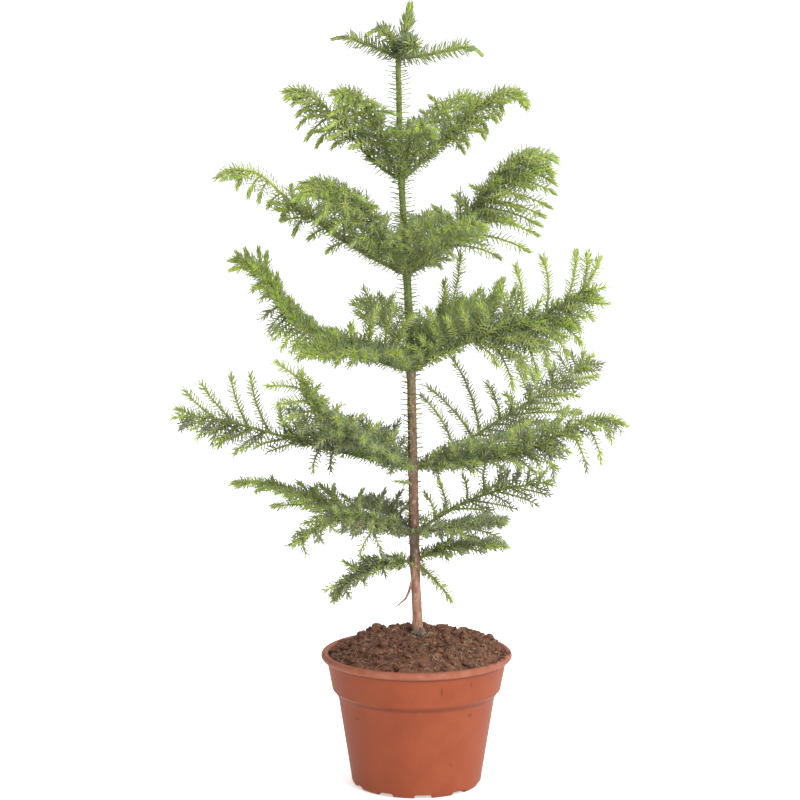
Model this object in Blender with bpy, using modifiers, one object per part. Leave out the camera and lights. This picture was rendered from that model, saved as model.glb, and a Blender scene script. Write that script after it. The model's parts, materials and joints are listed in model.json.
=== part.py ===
"""A potted Norfolk Island pine: a thin trunk with seven tiers of fronds, in a plastic nursery pot.

Metres, +Z up. The origin is the middle of the pot's flat underside, and -Y is the side that faces the viewer.
Every frond grows by one rule: a bough leaves the trunk, its stem runs on, and side shoots stand out in two ranks.
"""

import math
import random
from collections import namedtuple

import bmesh
import bpy
import numpy as np
from mathutils import Vector, noise

CLEARANCE = 0.0003
TURN_STEPS = 36

# Pot
POT_HEIGHT = 0.1200
RIM_RADIUS = 0.0850
LIP_HEIGHT = 0.0066
BAND_TOP_RADIUS = 0.0800
BAND_FOOT_RADIUS = 0.0752
BAND_FOOT_HEIGHT = 0.0864
STEP_RADIUS = 0.0698
STEP_HEIGHT = 0.0800
BASE_RADIUS = 0.0576
BASE_CORNER = 0.0024
WALL = 0.0015
FLOOR = 0.0052
FOOT_COUNT = 10
BAY_WIDTH = 0.0150
BAY_HEIGHT = 0.0034
BAY_TURN = 6
BAY_INNER_RADIUS = 0.0380
DRAIN_RADIUS = 0.0026

# Potting mix, heaped above the rim
SOIL_EDGE_HEIGHT = 0.1160
SOIL_SEAT_HEIGHT = 0.1372
SOIL_SEAT_RADIUS = 0.0085
SOIL_RINGS = 6
LUMP_HEIGHT = 0.0020
LUMP_SIZE = 0.0120
RIGHT_HEAP = 0.0050

# Trunk: where its middle passes at each height, and its radius there
TRUNK_FOOT = SOIL_SEAT_HEIGHT + CLEARANCE
TRUNK_TIP = 0.6610
TRUNK_LEAN = (
    (0.1375, 0.0008),
    (0.1980, -0.0014),
    (0.2860, -0.0033),
    (0.3720, -0.0051),
    (0.4570, -0.0087),
    (0.5400, -0.0135),
    (0.6100, -0.0156),
    (0.6470, -0.0155),
    (0.6610, -0.0130),
)
TRUNK_RADIUS_FOOT = 0.0043
TRUNK_RADIUS_TIP = 0.0022
FLARE_WIDTH = 0.0011
FLARE_HEIGHT = 0.0090
KNUCKLE_WIDTH = 0.0007
KNUCKLE_HEIGHT = 0.0060
TRUNK_STATIONS = 26

# Growth rule of a frond
RISE_PLACES = (0.0, 0.35, 0.75, 1.0)
BOUGH_SHARE = 0.17
SHORTEST_WITH_BOUGH = 0.100
BOUGH_POINTS = 6
BOUGH_TAPER = 0.8
SHORTEST_BOUGH = 0.012
START_STEP = 0.0004
LIMB_STEPS = 40
PAIR_SPACING = 0.0205
PAIR_STAGGER = 0.3
LAST_PAIR = 0.95
ANGLE_FALL = 16
SHOOT_STEPS = 6
FORWARD_BEND = 0.35
ANGLE_SPREAD = 4
LENGTH_SPREAD = 0.08
SHORTEST_SHOOT = 0.012
SHORTENING = 0.82
TRIES = 5
NEEDLE_REACH = 0.0062
CORE_REACH = 0.0012
LEADER_REACH = 0.0075
LEADER_TOOTH = 0.0120
ROOT_REACH = 0.0009
STEM_TOOTH = 0.0185
SHOOT_TOOTH = 0.0260
RIDGE_SHARE = 0.62
KEEP_APART = 0.0008
SAMPLE_STEP = 0.0030
TOOTH_CREST = 0.78
TIP_SHARE = 0.3
TIP_TAPER = 0.35
SEED = 7

Tier = namedtuple("Tier", "name height limb_radius dihedral branches")
Branch = namedtuple("Branch", "name azimuth sweep reach rises spread roll droop angle")

# Rises are the limb's angle above level at its root, at a third, at three quarters and at its tip.
TIERS = (
    Tier("tier7", 0.6470, 0.0014, 0, (
        Branch("left", 185, -10, 0.058, (14, 24, 15, -13), 0, 0, 0, 0),
        Branch("front_left", 235, 0, 0.057, (62, 42, -5, -25), 0, 0, 0, 0),
        Branch("front_right", 290, 0, 0.045, (35, 20, 0, -10), 0, 0, 0, 0),
        Branch("right", 350, 10, 0.072, (-6, 12, 12, -45), 0, 0, 0, 0),
    )),
    Tier("tier6", 0.5400, 0.0014, -8, (
        Branch("left", 184, -6, 0.134, (26, 52, 45, -20), 0.050, 12, -30, 56),
        Branch("front_left", 235, -10, 0.127, (44, 62, 40, -55), 0.042, 8, -22, 58),
        Branch("front", 285, 0, 0.095, (55, 50, 20, -10), 0.036, 0, -22, 58),
        Branch("right", 354, 0, 0.143, (40, 46, 38, -62), 0.046, -12, -22, 58),
        Branch("back_right", 45, 0, 0.125, (52, 54, 25, -25), 0.042, 0, -22, 58),
    )),
    Tier("tier5", 0.4570, 0.0015, -10, (
        Branch("left", 182, 0, 0.196, (24, 34, 44, -38), 0.052, 14, -16, 58),
        Branch("front_left", 228, 0, 0.168, (40, 54, 21, -48), 0.052, 6, -16, 58),
        Branch("front_right", 300, 0, 0.130, (38, 32, 20, 0), 0.048, 0, -16, 58),
        Branch("right", 346, 6, 0.176, (28, 54, 50, -34), 0.074, -26, -44, 48),
        Branch("back", 78, 0, 0.125, (30, 28, 15, 0), 0.048, 0, -16, 58),
    )),
    Tier("tier4", 0.3720, 0.0016, 4, (
        Branch("left", 184, 0, 0.192, (17, 22, 62, 5), 0.046, 10, -8, 58),
        Branch("front_left", 228, 0, 0.134, (32, 20, 0, -14), 0.058, 8, -10, 58),
        Branch("right", 350, 4, 0.200, (35, 17, 30, 78), 0.062, -58, 4, 66),
        Branch("back_right", 52, 0, 0.130, (30, 28, 20, 15), 0.050, 0, 8, 62),
        Branch("back_left", 112, 0, 0.125, (28, 30, 22, 10), 0.046, 0, 6, 62),
    )),
    Tier("tier3", 0.2860, 0.0016, 10, (
        Branch("left", 184, 0, 0.217, (12, 15, 17, -6), 0.060, 52, 2, 62),
        Branch("front_left", 224, 0, 0.172, (24, 26, 42, 76), 0.050, 16, 0, 60),
        Branch("right", 342, 12, 0.200, (9, 9, 36, -30), 0.056, -34, -24, 56),
        Branch("back_right", 38, 0, 0.228, (12, 22, 20, 34), 0.068, -18, 4, 80),
        Branch("back_left", 132, 0, 0.130, (15, 14, 12, 10), 0.050, 0, 2, 62),
    )),
    Tier("tier2", 0.2260, 0.0014, 4, (
        Branch("left", 178, 0, 0.170, (9, 26, 16, -11), 0.042, 12, -12, 56),
        Branch("front_left", 212, 0, 0.132, (19, 20, -17, -38), 0.044, 8, -20, 56),
        Branch("front_right", 326, 0, 0.098, (15, 14, 10, 3), 0.042, -10, -8, 58),
        Branch("back_right", 22, 0, 0.142, (33, 22, 4, 6), 0.050, -24, 2, 72),
        Branch("back_left", 120, 0, 0.095, (16, 14, 6, 0), 0.040, 0, 0, 60),
    )),
    Tier("tier1", 0.2000, 0.0012, 4, (
        Branch("left", 190, 0, 0.086, (14, -13, -40, -66), 0.030, 8, -14, 56),
        Branch("right", 8, 0, 0.087, (40, 8, 0, -14), 0.024, -8, -10, 56),
        Branch("low_right", 348, 0, 0.048, (-34, -42, -50, -60), 0, 0, 0, 0),
    )),
)
RIM_DIRECTIONS = [(math.cos(math.tau * i / 12), math.sin(math.tau * i / 12)) for i in range(12)]
LEADER = Branch("leader", 4, 0, 0.0330, (62, 62, 76, 84), 0, 0, 0, 0)

FINISHES = {
    "pot_plastic": ((0.52, 0.16, 0.08), 0.45),
    "potting_mix": ((0.13, 0.07, 0.045), 0.95),
    "bark": ((0.33, 0.19, 0.11), 0.80),
    "green_bark": ((0.24, 0.30, 0.08), 0.65),
    "needles": ((0.16, 0.30, 0.06), 0.55),
}


def finish(name):
    """The material of that name, made on first use."""
    made = bpy.data.materials.get(name)
    if made:
        return made
    made = bpy.data.materials.new(name)
    made.use_nodes = True
    shader = made.node_tree.nodes["Principled BSDF"]
    colour, roughness = FINISHES[name]
    shader.inputs["Base Color"].default_value = (*colour, 1)
    shader.inputs["Roughness"].default_value = roughness
    shader.inputs["Metallic"].default_value = 0
    return made


def new_collection(name):
    made = bpy.data.collections.new(name)
    bpy.context.scene.collection.children.link(made)
    return made


def add_object(name, data, collection, material=None):
    obj = bpy.data.objects.new(name, data)
    collection.objects.link(obj)
    if material:
        data.materials.append(finish(material))
    return obj


def made_solid(obj, sharp=40):
    """Replaces obj's data with the mesh that its modifiers give, welded and with no modifier left."""
    bpy.context.view_layer.update()
    graph = bpy.context.evaluated_depsgraph_get()
    mesh = bpy.data.meshes.new_from_object(obj.evaluated_get(graph))
    shape = bmesh.new()
    shape.from_mesh(mesh)
    bmesh.ops.remove_doubles(shape, verts=shape.verts, dist=1e-6)
    shape.to_mesh(mesh)
    shape.free()
    mesh.shade_smooth()
    mesh.set_sharp_from_angle(angle=math.radians(sharp))
    name, matrix = obj.name, obj.matrix_world.copy()
    home, materials = obj.users_collection[0], list(obj.data.materials)
    bpy.data.objects.remove(obj)
    solid = bpy.data.objects.new(name, mesh)
    home.objects.link(solid)
    solid.matrix_world = matrix
    mesh.materials.clear()
    for material in materials:
        mesh.materials.append(material)
    return solid


def turned(name, profile, collection, material):
    """A solid of revolution from (radius, height) points that run from the axis, down the outer side, to the axis."""
    mesh = bpy.data.meshes.new(name)
    points = [(radius, 0, height) for radius, height in profile]
    mesh.from_pydata(points, [(i, i + 1) for i in range(len(points) - 1)], [])
    obj = add_object(name, mesh, collection, material)
    screw = obj.modifiers.new("turn", "SCREW")
    screw.steps = TURN_STEPS
    screw.render_steps = TURN_STEPS
    screw.use_merge_vertices = True
    screw.merge_threshold = 0.00001
    return obj


def arc(centre, half_width, half_height, start, end, count):
    """Points on an ellipse about centre, from start to end degrees."""
    angles = [math.radians(start + (end - start) * i / (count - 1)) for i in range(count)]
    return [(centre[0] + half_width * math.cos(a), centre[1] + half_height * math.sin(a)) for a in angles]


def pot_inside():
    """The pot's inner wall from its floor to its lip, as (radius, height) points."""
    corner = BASE_CORNER - WALL
    inner = BASE_RADIUS - WALL
    return [
        (inner - corner, FLOOR),
        (inner + 0.0005, FLOOR + corner),
        (STEP_RADIUS - WALL, STEP_HEIGHT + WALL / 2),
        (BAND_FOOT_RADIUS - WALL, BAND_FOOT_HEIGHT + WALL / 2),
        (BAND_TOP_RADIUS - WALL, POT_HEIGHT - LIP_HEIGHT / 2),
    ]


def pot_profile():
    lip_inner = BAND_TOP_RADIUS - WALL
    lip_middle = ((lip_inner + RIM_RADIUS) / 2, POT_HEIGHT - LIP_HEIGHT / 2)
    lip = arc(lip_middle, (RIM_RADIUS - lip_inner) / 2, LIP_HEIGHT / 2, 155, -65, 8)
    base = arc((BASE_RADIUS - BASE_CORNER, BASE_CORNER), BASE_CORNER, BASE_CORNER, 0, -90, 4)
    return [
        (0, FLOOR),
        *pot_inside(),
        *lip,
        (BAND_TOP_RADIUS, POT_HEIGHT - LIP_HEIGHT),
        (BAND_FOOT_RADIUS, BAND_FOOT_HEIGHT),
        (STEP_RADIUS, STEP_HEIGHT),
        *base,
        (0, 0),
    ]


def build_pot(parts, cutters):
    """The pot: rolled lip, deep band, step, tapering body, and drain bays between the feet under its edge."""
    pot = turned("pot", pot_profile(), parts, "pot_plastic")
    bay_length = BASE_RADIUS + 0.006 - BAY_INNER_RADIUS
    for i in range(FOOT_COUNT):
        turn = math.radians(360 * (i + 0.5) / FOOT_COUNT + BAY_TURN)
        middle = BAY_INNER_RADIUS + bay_length / 2
        bay_mesh = bpy.data.meshes.new(f"bay_{i}")
        shape = bmesh.new()
        bmesh.ops.create_cube(shape, size=1)
        bmesh.ops.scale(shape, vec=(bay_length, BAY_WIDTH, 2 * BAY_HEIGHT), verts=shape.verts)
        shape.to_mesh(bay_mesh)
        shape.free()
        bay = add_object(f"bay_{i}", bay_mesh, cutters)
        bay.location = (middle * math.cos(turn), middle * math.sin(turn), 0)
        bay.rotation_euler.z = turn
        drain_mesh = bpy.data.meshes.new(f"drain_{i}")
        shape = bmesh.new()
        bmesh.ops.create_cone(
            shape, cap_ends=True, segments=8, radius1=DRAIN_RADIUS, radius2=DRAIN_RADIUS, depth=4 * FLOOR
        )
        shape.to_mesh(drain_mesh)
        shape.free()
        drain = add_object(f"drain_{i}", drain_mesh, cutters)
        drain.location = ((BAY_INNER_RADIUS + 0.006) * math.cos(turn), (BAY_INNER_RADIUS + 0.006) * math.sin(turn), 0)
    for cutter in cutters.objects:
        cutter.hide_render = True
        cutter.display_type = "WIRE"
    cut = pot.modifiers.new("drainage", "BOOLEAN")
    cut.operation = "DIFFERENCE"
    cut.operand_type = "COLLECTION"
    cut.collection = cutters
    cut.solver = "EXACT"
    return made_solid(pot)


def mound_height(radius, edge_radius):
    share = min(1, max(0, (radius - SOIL_SEAT_RADIUS) / (edge_radius - SOIL_SEAT_RADIUS)))
    return SOIL_EDGE_HEIGHT + (SOIL_SEAT_HEIGHT - SOIL_EDGE_HEIGHT) * (1 - share**2)


def build_soil(parts):
    """The potting mix: it fills the pot and is heaped, lumpy and a little higher on the right."""
    wall = [(radius - CLEARANCE * 1.2, height) for radius, height in pot_inside()]
    wall[0] = (wall[0][0], wall[0][1] + CLEARANCE)
    edge_radius = np.interp(SOIL_EDGE_HEIGHT, [h for _, h in wall], [r for r, _ in wall])
    rings = np.linspace(SOIL_SEAT_RADIUS, edge_radius, SOIL_RINGS + 1)[:-1]
    top = [(0, SOIL_SEAT_HEIGHT)] + [(r, mound_height(r, edge_radius)) for r in rings]
    sides = [(edge_radius, SOIL_EDGE_HEIGHT)] + [p for p in reversed(wall) if p[1] < SOIL_EDGE_HEIGHT]
    soil = made_solid(turned("potting_mix", [*top, *sides, (0, wall[0][1])], parts, "potting_mix"))
    for vertex in soil.data.vertices:
        radius = math.hypot(vertex.co.x, vertex.co.y)
        inside = SOIL_SEAT_RADIUS + 0.001 < radius < edge_radius - 0.001
        if vertex.co.z > SOIL_EDGE_HEIGHT - 0.0001 and inside:
            lump = noise.noise(Vector((vertex.co.x, vertex.co.y, 0)) / LUMP_SIZE)
            heap = RIGHT_HEAP * max(0, vertex.co.x / edge_radius) ** 2
            vertex.co.z += LUMP_HEIGHT * lump + heap
    return soil


def trunk_middle(height):
    """Where the trunk's middle is at that height: a smooth curve through TRUNK_LEAN."""
    heights = [h for h, _ in TRUNK_LEAN]
    leans = [x for _, x in TRUNK_LEAN]
    i = int(np.clip(np.searchsorted(heights, height) - 1, 0, len(heights) - 2))
    slopes = np.gradient(leans, heights)
    slopes[0] = 0
    span = heights[i + 1] - heights[i]
    t = (height - heights[i]) / span
    x = (
        leans[i] * (1 + 2 * t) * (1 - t) ** 2
        + slopes[i] * span * t * (1 - t) ** 2
        + leans[i + 1] * t * t * (3 - 2 * t)
        + slopes[i + 1] * span * t * t * (t - 1)
    )
    return np.array((x, 0.0, height))


def trunk_radius(height):
    """The trunk's taper, with the flare at its foot and a slight knuckle where each tier leaves it."""
    share = (height - TRUNK_FOOT) / (TRUNK_TIP - TRUNK_FOOT)
    radius = TRUNK_RADIUS_FOOT + (TRUNK_RADIUS_TIP - TRUNK_RADIUS_FOOT) * share
    radius += FLARE_WIDTH * math.exp(-(height - TRUNK_FOOT) / FLARE_HEIGHT)
    for tier in TIERS:
        radius += KNUCKLE_WIDTH * math.exp(-(((height - tier.height) / KNUCKLE_HEIGHT) ** 2))
    return radius


def tube(name, points, radii, collection, material, bevel_resolution):
    """A round limb along points, with filled ends, as a welded mesh."""
    curve = bpy.data.curves.new(name, "CURVE")
    curve.dimensions = "3D"
    curve.bevel_depth = 1
    curve.bevel_resolution = bevel_resolution
    curve.use_fill_caps = True
    curve.twist_mode = "MINIMUM"
    spline = curve.splines.new("POLY")
    spline.points.add(len(points) - 1)
    for place, point, radius in zip(spline.points, points, radii):
        place.co = (*point, 1)
        place.radius = radius
    return made_solid(add_object(name, curve, collection, material), 50)


def build_trunk(parts):
    """The trunk, from its flat cut at the mix to the foot of the leader, with more stations at each knuckle."""
    heights = set(np.linspace(TRUNK_FOOT, TRUNK_TIP, TRUNK_STATIONS))
    heights |= {TRUNK_FOOT + 0.003, TRUNK_FOOT + 0.009}
    for tier in TIERS:
        near = [h for h in heights if abs(h - tier.height) < 0.006]
        heights -= set(near)
        heights |= {tier.height - 0.006, tier.height, tier.height + 0.006}
    heights = sorted(heights)
    points = [trunk_middle(h) for h in heights]
    points[1][0] = points[0][0]
    return tube("trunk", points, [trunk_radius(h) for h in heights], parts, "bark", 2)


def limb_line(root, branch):
    """The limb's middle line and its direction at each step, turned evenly from rise to rise."""
    places, directions = [np.array(root, float)], []
    for i in range(LIMB_STEPS):
        t = (i + 0.5) / LIMB_STEPS
        rise = math.radians(np.interp(t, RISE_PLACES, branch.rises))
        heading = math.radians(branch.azimuth + branch.sweep * t)
        level = math.cos(rise)
        way = np.array((level * math.cos(heading), level * math.sin(heading), math.sin(rise)))
        places.append(places[-1] + way * branch.reach / LIMB_STEPS)
        directions.append(way)
    directions.append(directions[-1])
    return np.array(places), np.array(directions)


def at(line, share):
    """The point that far along a line of evenly spaced points, from 0 to 1."""
    i = np.clip(share, 0, 1) * (len(line) - 1)
    low = min(int(i), len(line) - 2)
    return line[low] + (line[low + 1] - line[low]) * (i - low)


def stretch(line, start, end, count):
    return [at(line, start + (end - start) * i / (count - 1)) for i in range(count)]


def side_frame(way, roll):
    """The frond's sideways and upward directions about its limb, with the frond rolled about it."""
    side = np.cross(way, (0, 0, 1))
    side /= np.linalg.norm(side)
    up = np.cross(side, way)
    turn = math.radians(roll)
    return side * math.cos(turn) + up * math.sin(turn), up * math.cos(turn) - side * math.sin(turn)


def shoot_share(t):
    """How long a side shoot is there: short at the bough, longest at a third, and shorter towards the tip."""
    return min(1, 0.6 + 1.6 * t) * (1 - 0.70 * max(0, (t - 0.35) / 0.65) ** 1.2)


def side_shoots(frond, chance):
    """The points of each side shoot of the frond, in two ranks by a seeded rule, rooted in the middle of its stem."""
    tier, branch, ways = frond["tier"], frond["branch"], frond["ways"]
    stations = tooth_stations(frond["stem"], NEEDLE_REACH, STEM_TOOTH)
    first = BOUGH_SHARE + 0.05
    pairs = max(1, round(branch.reach * (LAST_PAIR - first) / PAIR_SPACING))
    for k in range(pairs):
        for side in (-1, 1):
            t = (k + 0.35 + PAIR_STAGGER * (side > 0)) / pairs
            share = first + (LAST_PAIR - first) * t
            across, up = side_frame(at(ways, share), branch.roll)
            angle = math.radians(branch.angle + ANGLE_FALL * (0.5 - t) + chance.uniform(-ANGLE_SPREAD, ANGLE_SPREAD))
            lift = math.radians(tier.dihedral)
            length = branch.spread * shoot_share(t) * (1 + chance.uniform(-LENGTH_SPREAD, LENGTH_SPREAD))
            way = at(ways, share) * math.cos(angle)
            way = way + (side * across * math.cos(lift) + up * math.sin(lift)) * math.sin(angle)
            stem_share = (share - frond["stem_start"]) / (1 - frond["stem_start"])
            root = chord_point(frond["stem"], stations, stem_share)
            yield shoot_points(root, way, at(ways, share), length, branch.droop)


def shoot_points(root, way, ahead, length, droop):
    """A side shoot's points: it bends ahead, and up or down by droop degrees."""
    points = [root]
    for s in range(SHOOT_STEPS):
        w = (s + 0.5) / SHOOT_STEPS
        turned_way = way + np.array((0, 0, math.tan(math.radians(droop)) * w)) + ahead * FORWARD_BEND * w
        turned_way /= np.linalg.norm(turned_way)
        points.append(points[-1] + turned_way * length / SHOOT_STEPS)
    return np.array(points)


def length_of(points):
    return float(np.linalg.norm(np.diff(points, axis=0), axis=1).sum())


def tooth_stations(line, reach, tooth_length):
    """(share of the line, half-width) at the foot, at each tooth's crest and end, and at the tip."""
    teeth = max(1, round(length_of(line) / tooth_length))
    stations = [(0.0, ROOT_REACH)]
    for i in range(teeth):
        taper = 1 - TIP_TAPER * (i + 1) / teeth
        stations.append(((i + TOOTH_CREST) / (teeth + TIP_SHARE), reach * taper))
        stations.append(((i + 1) / (teeth + TIP_SHARE), CORE_REACH * taper))
    return [*stations, (1.0, 0.0)]


def chord_point(line, stations, share):
    """The point at that share of the line on the straight stretches between its stations."""
    shares = [s for s, _ in stations]
    places = np.array([at(line, s) for s in shares])
    return np.array([np.interp(share, shares, places[:, axis]) for axis in range(3)])


def toothed_shoot(name, points, reach, tooth_length, collection):
    """A spray of needles: a three-sided core whose edges widen to a forward tooth again and again."""
    points = np.array(points)
    shape = bmesh.new()
    rings = []
    for share, wide in tooth_stations(points, reach, tooth_length)[:-1]:
        middle = at(points, share)
        way = at(points, min(1, share + 0.02)) - at(points, max(0, share - 0.02))
        way /= np.linalg.norm(way)
        across, up = side_frame(way, 0)
        ring = [
            middle + across * wide - up * wide * RIDGE_SHARE / 3,
            middle + up * wide * RIDGE_SHARE,
            middle - across * wide - up * wide * RIDGE_SHARE / 3,
        ]
        rings.append([shape.verts.new(p) for p in ring])
    tip = shape.verts.new(points[-1])
    shape.faces.new(rings[0])
    for low, high in zip(rings, rings[1:]):
        for a in range(3):
            b = (a + 1) % 3
            shape.faces.new((low[a], high[a], high[b], low[b]))
    for a in range(3):
        shape.faces.new((rings[-1][a], tip, rings[-1][(a + 1) % 3]))
    bmesh.ops.recalc_face_normals(shape, faces=shape.faces)
    mesh = bpy.data.meshes.new(name)
    shape.to_mesh(mesh)
    shape.free()
    return add_object(name, mesh, collection, "needles")


def joined_mass(name, stem, shoots, parts):
    """The frond's stem and side shoots as one solid: one Boolean union on the collection that holds the shoots."""
    joining = new_collection(f"{name}_joining")
    mass = toothed_shoot(name, stem, NEEDLE_REACH, STEM_TOOTH, parts)
    if not shoots:
        bpy.data.collections.remove(joining)
        return mass
    for i, points in enumerate(shoots):
        toothed_shoot(f"{name}_{i}", points, NEEDLE_REACH, SHOOT_TOOTH, joining)
    union = mass.modifiers.new("join", "BOOLEAN")
    union.operation = "UNION"
    union.operand_type = "COLLECTION"
    union.collection = joining
    union.solver = "MANIFOLD"
    mass = made_solid(mass, 30)
    for obj in list(joining.objects):
        bpy.data.objects.remove(obj)
    bpy.data.collections.remove(joining)
    return mass


class Space:
    """Where limbs and shoots already are, so that each frond keeps to its own space."""

    def __init__(self):
        self.points = np.empty((0, 3))
        self.reaches = np.empty(0)
        self.owners = []

    def samples(self, line):
        count = max(2, int(length_of(line) / SAMPLE_STEP) + 1)
        return np.array(stretch(line, 0, 1, count))

    def add(self, line, reach, owner):
        points = self.samples(line)
        self.points = np.vstack((self.points, points))
        self.reaches = np.append(self.reaches, np.full(len(points), reach))
        self.owners += [owner] * len(points)

    def is_clear(self, line, reach, owner):
        others = np.array([o != owner for o in self.owners])
        apart = np.linalg.norm(self.samples(line)[:, None] - self.points[others][None], axis=2)
        return bool((apart > reach + self.reaches[others] + KEEP_APART).all())


def limb_start(line, ways, limb_radius):
    """The least share of a limb at which its round end is clear of the trunk."""
    for share in np.arange(0, 1, START_STEP):
        middle, (across, up) = at(line, share), side_frame(at(ways, share), 0)
        nearest = min(
            math.dist(point[:2], trunk_middle(point[2])[:2]) - trunk_radius(point[2])
            for point in (middle + limb_radius * (across * c + up * s) for c, s in RIM_DIRECTIONS)
        )
        if nearest >= CLEARANCE:
            return share


def grow_fronds():
    """Every frond of the tree, as a dict: its name, bough stretch, stem stretch and side shoots."""
    space = Space()
    trunk = np.array([trunk_middle(h) for h in np.linspace(TRUNK_FOOT, TRUNK_TIP, 120)])
    space.add(trunk, TRUNK_RADIUS_FOOT, "trunk")
    fronds = []
    for tier in TIERS:
        for branch in tier.branches:
            name = f"{tier.name}_{branch.name}"
            line, ways = limb_line(trunk_middle(tier.height), branch)
            has_bough = branch.reach >= SHORTEST_WITH_BOUGH
            reach = tier.limb_radius if has_bough else ROOT_REACH
            start = limb_start(line, ways, reach)
            bough_end = max(BOUGH_SHARE, start + SHORTEST_BOUGH / branch.reach) if has_bough else start
            stem_start = bough_end + CLEARANCE / branch.reach if has_bough else start
            stem = np.array(stretch(line, stem_start, 1, LIMB_STEPS))
            fronds.append({
                "name": name, "tier": tier, "branch": branch, "ways": ways, "stem": stem, "stem_start": stem_start,
                "bough": stretch(line, start, bough_end, BOUGH_POINTS) if has_bough else None,
            })
            space.add(stem, NEEDLE_REACH, name)
    for i, frond in enumerate(fronds):
        chance = random.Random(SEED + i)
        frond["shoots"] = []
        if not frond["branch"].spread:
            continue
        for points in side_shoots(frond, chance):
            for _ in range(TRIES):
                if space.is_clear(points[1:], NEEDLE_REACH, frond["name"]):
                    frond["shoots"].append(points)
                    space.add(points, NEEDLE_REACH, frond["name"])
                    break
                points = points[0] + (points - points[0]) * SHORTENING
                if length_of(points) < SHORTEST_SHOOT:
                    break
    return fronds


def build_frond(frond, parts):
    """A bough where the frond is long enough for one, and the mass of needles that goes on from its tip."""
    if frond["bough"]:
        radius = frond["tier"].limb_radius
        radii = np.linspace(radius, radius * BOUGH_TAPER, BOUGH_POINTS)
        tube(f"{frond['name']}_bough", frond["bough"], radii, parts, "green_bark", 1)
    joined_mass(f"{frond['name']}_needles", frond["stem"], frond["shoots"], parts)


def build_leader(parts):
    """The leader: the shoot that goes on from the trunk's tip."""
    foot = trunk_middle(TRUNK_TIP) + np.array((0, 0, CLEARANCE * 1.6))
    line, _ = limb_line(foot, LEADER)
    toothed_shoot("leader_needles", line, LEADER_REACH, LEADER_TOOTH, parts)


def main():
    for obj in list(bpy.data.objects):
        bpy.data.objects.remove(obj)
    parts = new_collection("potted_norfolk_island_pine")
    cutters = new_collection("cutters")
    build_pot(parts, cutters)
    build_soil(parts)
    build_trunk(parts)
    build_leader(parts)
    for frond in grow_fronds():
        build_frond(frond, parts)


main()
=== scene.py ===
import json
import math
import random

import bmesh
import bpy
import numpy as np
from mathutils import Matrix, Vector, noise

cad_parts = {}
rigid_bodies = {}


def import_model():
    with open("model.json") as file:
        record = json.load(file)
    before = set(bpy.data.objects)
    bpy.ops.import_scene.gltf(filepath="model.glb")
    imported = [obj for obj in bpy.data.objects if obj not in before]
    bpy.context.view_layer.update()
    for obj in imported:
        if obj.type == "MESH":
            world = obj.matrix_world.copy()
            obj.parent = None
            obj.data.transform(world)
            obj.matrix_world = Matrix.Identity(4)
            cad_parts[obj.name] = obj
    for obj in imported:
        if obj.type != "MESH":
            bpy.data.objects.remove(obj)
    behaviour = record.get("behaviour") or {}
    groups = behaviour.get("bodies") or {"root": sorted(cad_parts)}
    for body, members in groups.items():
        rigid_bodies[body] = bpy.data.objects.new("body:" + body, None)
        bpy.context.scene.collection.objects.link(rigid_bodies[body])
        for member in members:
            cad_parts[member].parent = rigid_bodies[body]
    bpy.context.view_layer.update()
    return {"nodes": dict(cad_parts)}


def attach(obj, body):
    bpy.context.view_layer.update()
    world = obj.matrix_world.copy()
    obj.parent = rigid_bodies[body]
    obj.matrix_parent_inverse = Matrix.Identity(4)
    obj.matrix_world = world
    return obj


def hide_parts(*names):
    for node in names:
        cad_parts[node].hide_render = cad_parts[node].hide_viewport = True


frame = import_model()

scene = bpy.context.scene


# Shader maths: a Wire is a node's output, and sums on it add the nodes they need.
class Wire:
    def __init__(self, tree, socket=None):
        self.tree, self.socket = tree, socket

    def feed(self, socket, value):
        if isinstance(value, Wire):
            self.tree.links.new(value.socket, socket)
        elif socket.type == "RGBA" and len(value) == 3:
            socket.default_value = (*value, 1)
        else:
            socket.default_value = value

    def node(self, kind, settings=None, sockets=None, output=0):
        made = self.tree.nodes.new("ShaderNode" + kind)
        for setting, value in (settings or {}).items():
            if setting == "stops":
                stops = made.color_ramp.elements
                stops.remove(stops[1])
                stops[0].position, stops[0].color = value[0][0], (*value[0][1], 1)
                for position, colour in value[1:]:
                    stops.new(position).color = (*colour, 1)
            else:
                setattr(made, setting, value)
        for place, value in (sockets or {}).items():
            self.feed(made.inputs[place], value)
        return Wire(self.tree, made.outputs[output])

    def sum(self, operation, first, second):
        return self.node("Math", {"operation": operation}, {0: first, 1: second})

    def __add__(self, other):
        return self.sum("ADD", self, other)

    def __radd__(self, other):
        return self.sum("ADD", other, self)

    def __sub__(self, other):
        return self.sum("SUBTRACT", self, other)

    def __rsub__(self, other):
        return self.sum("SUBTRACT", other, self)

    def __mul__(self, other):
        return self.sum("MULTIPLY", self, other)

    def __rmul__(self, other):
        return self.sum("MULTIPLY", other, self)

    def grain(self, size, detail=3, roughness=0.55, stretch=(1, 1, 1)):  # noise, with spots of size metres
        place = self.node("TexCoord", output="Object")
        place = self.node("VectorMath", {"operation": "MULTIPLY"}, {0: place, 1: stretch})
        sockets = {"Vector": place, "Scale": 1 / size, "Detail": detail, "Roughness": roughness}
        return self.node("TexNoise", {}, sockets)

    def ease(self, low, high):  # 0 below low, 1 above high
        sockets = {"Value": self, "From Min": low, "From Max": high}
        return self.node("MapRange", {"interpolation_type": "SMOOTHSTEP"}, sockets)

    def blend(self, first, second):  # from the first colour to the second as this goes from 0 to 1
        return self.node("Mix", {"data_type": "RGBA"}, {0: self, 6: first, 7: second}, 2)

    def axes(self):
        place = self.node("TexCoord", output="Object")
        return [self.node("SeparateXYZ", {}, {0: place}, axis) for axis in range(3)]


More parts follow.
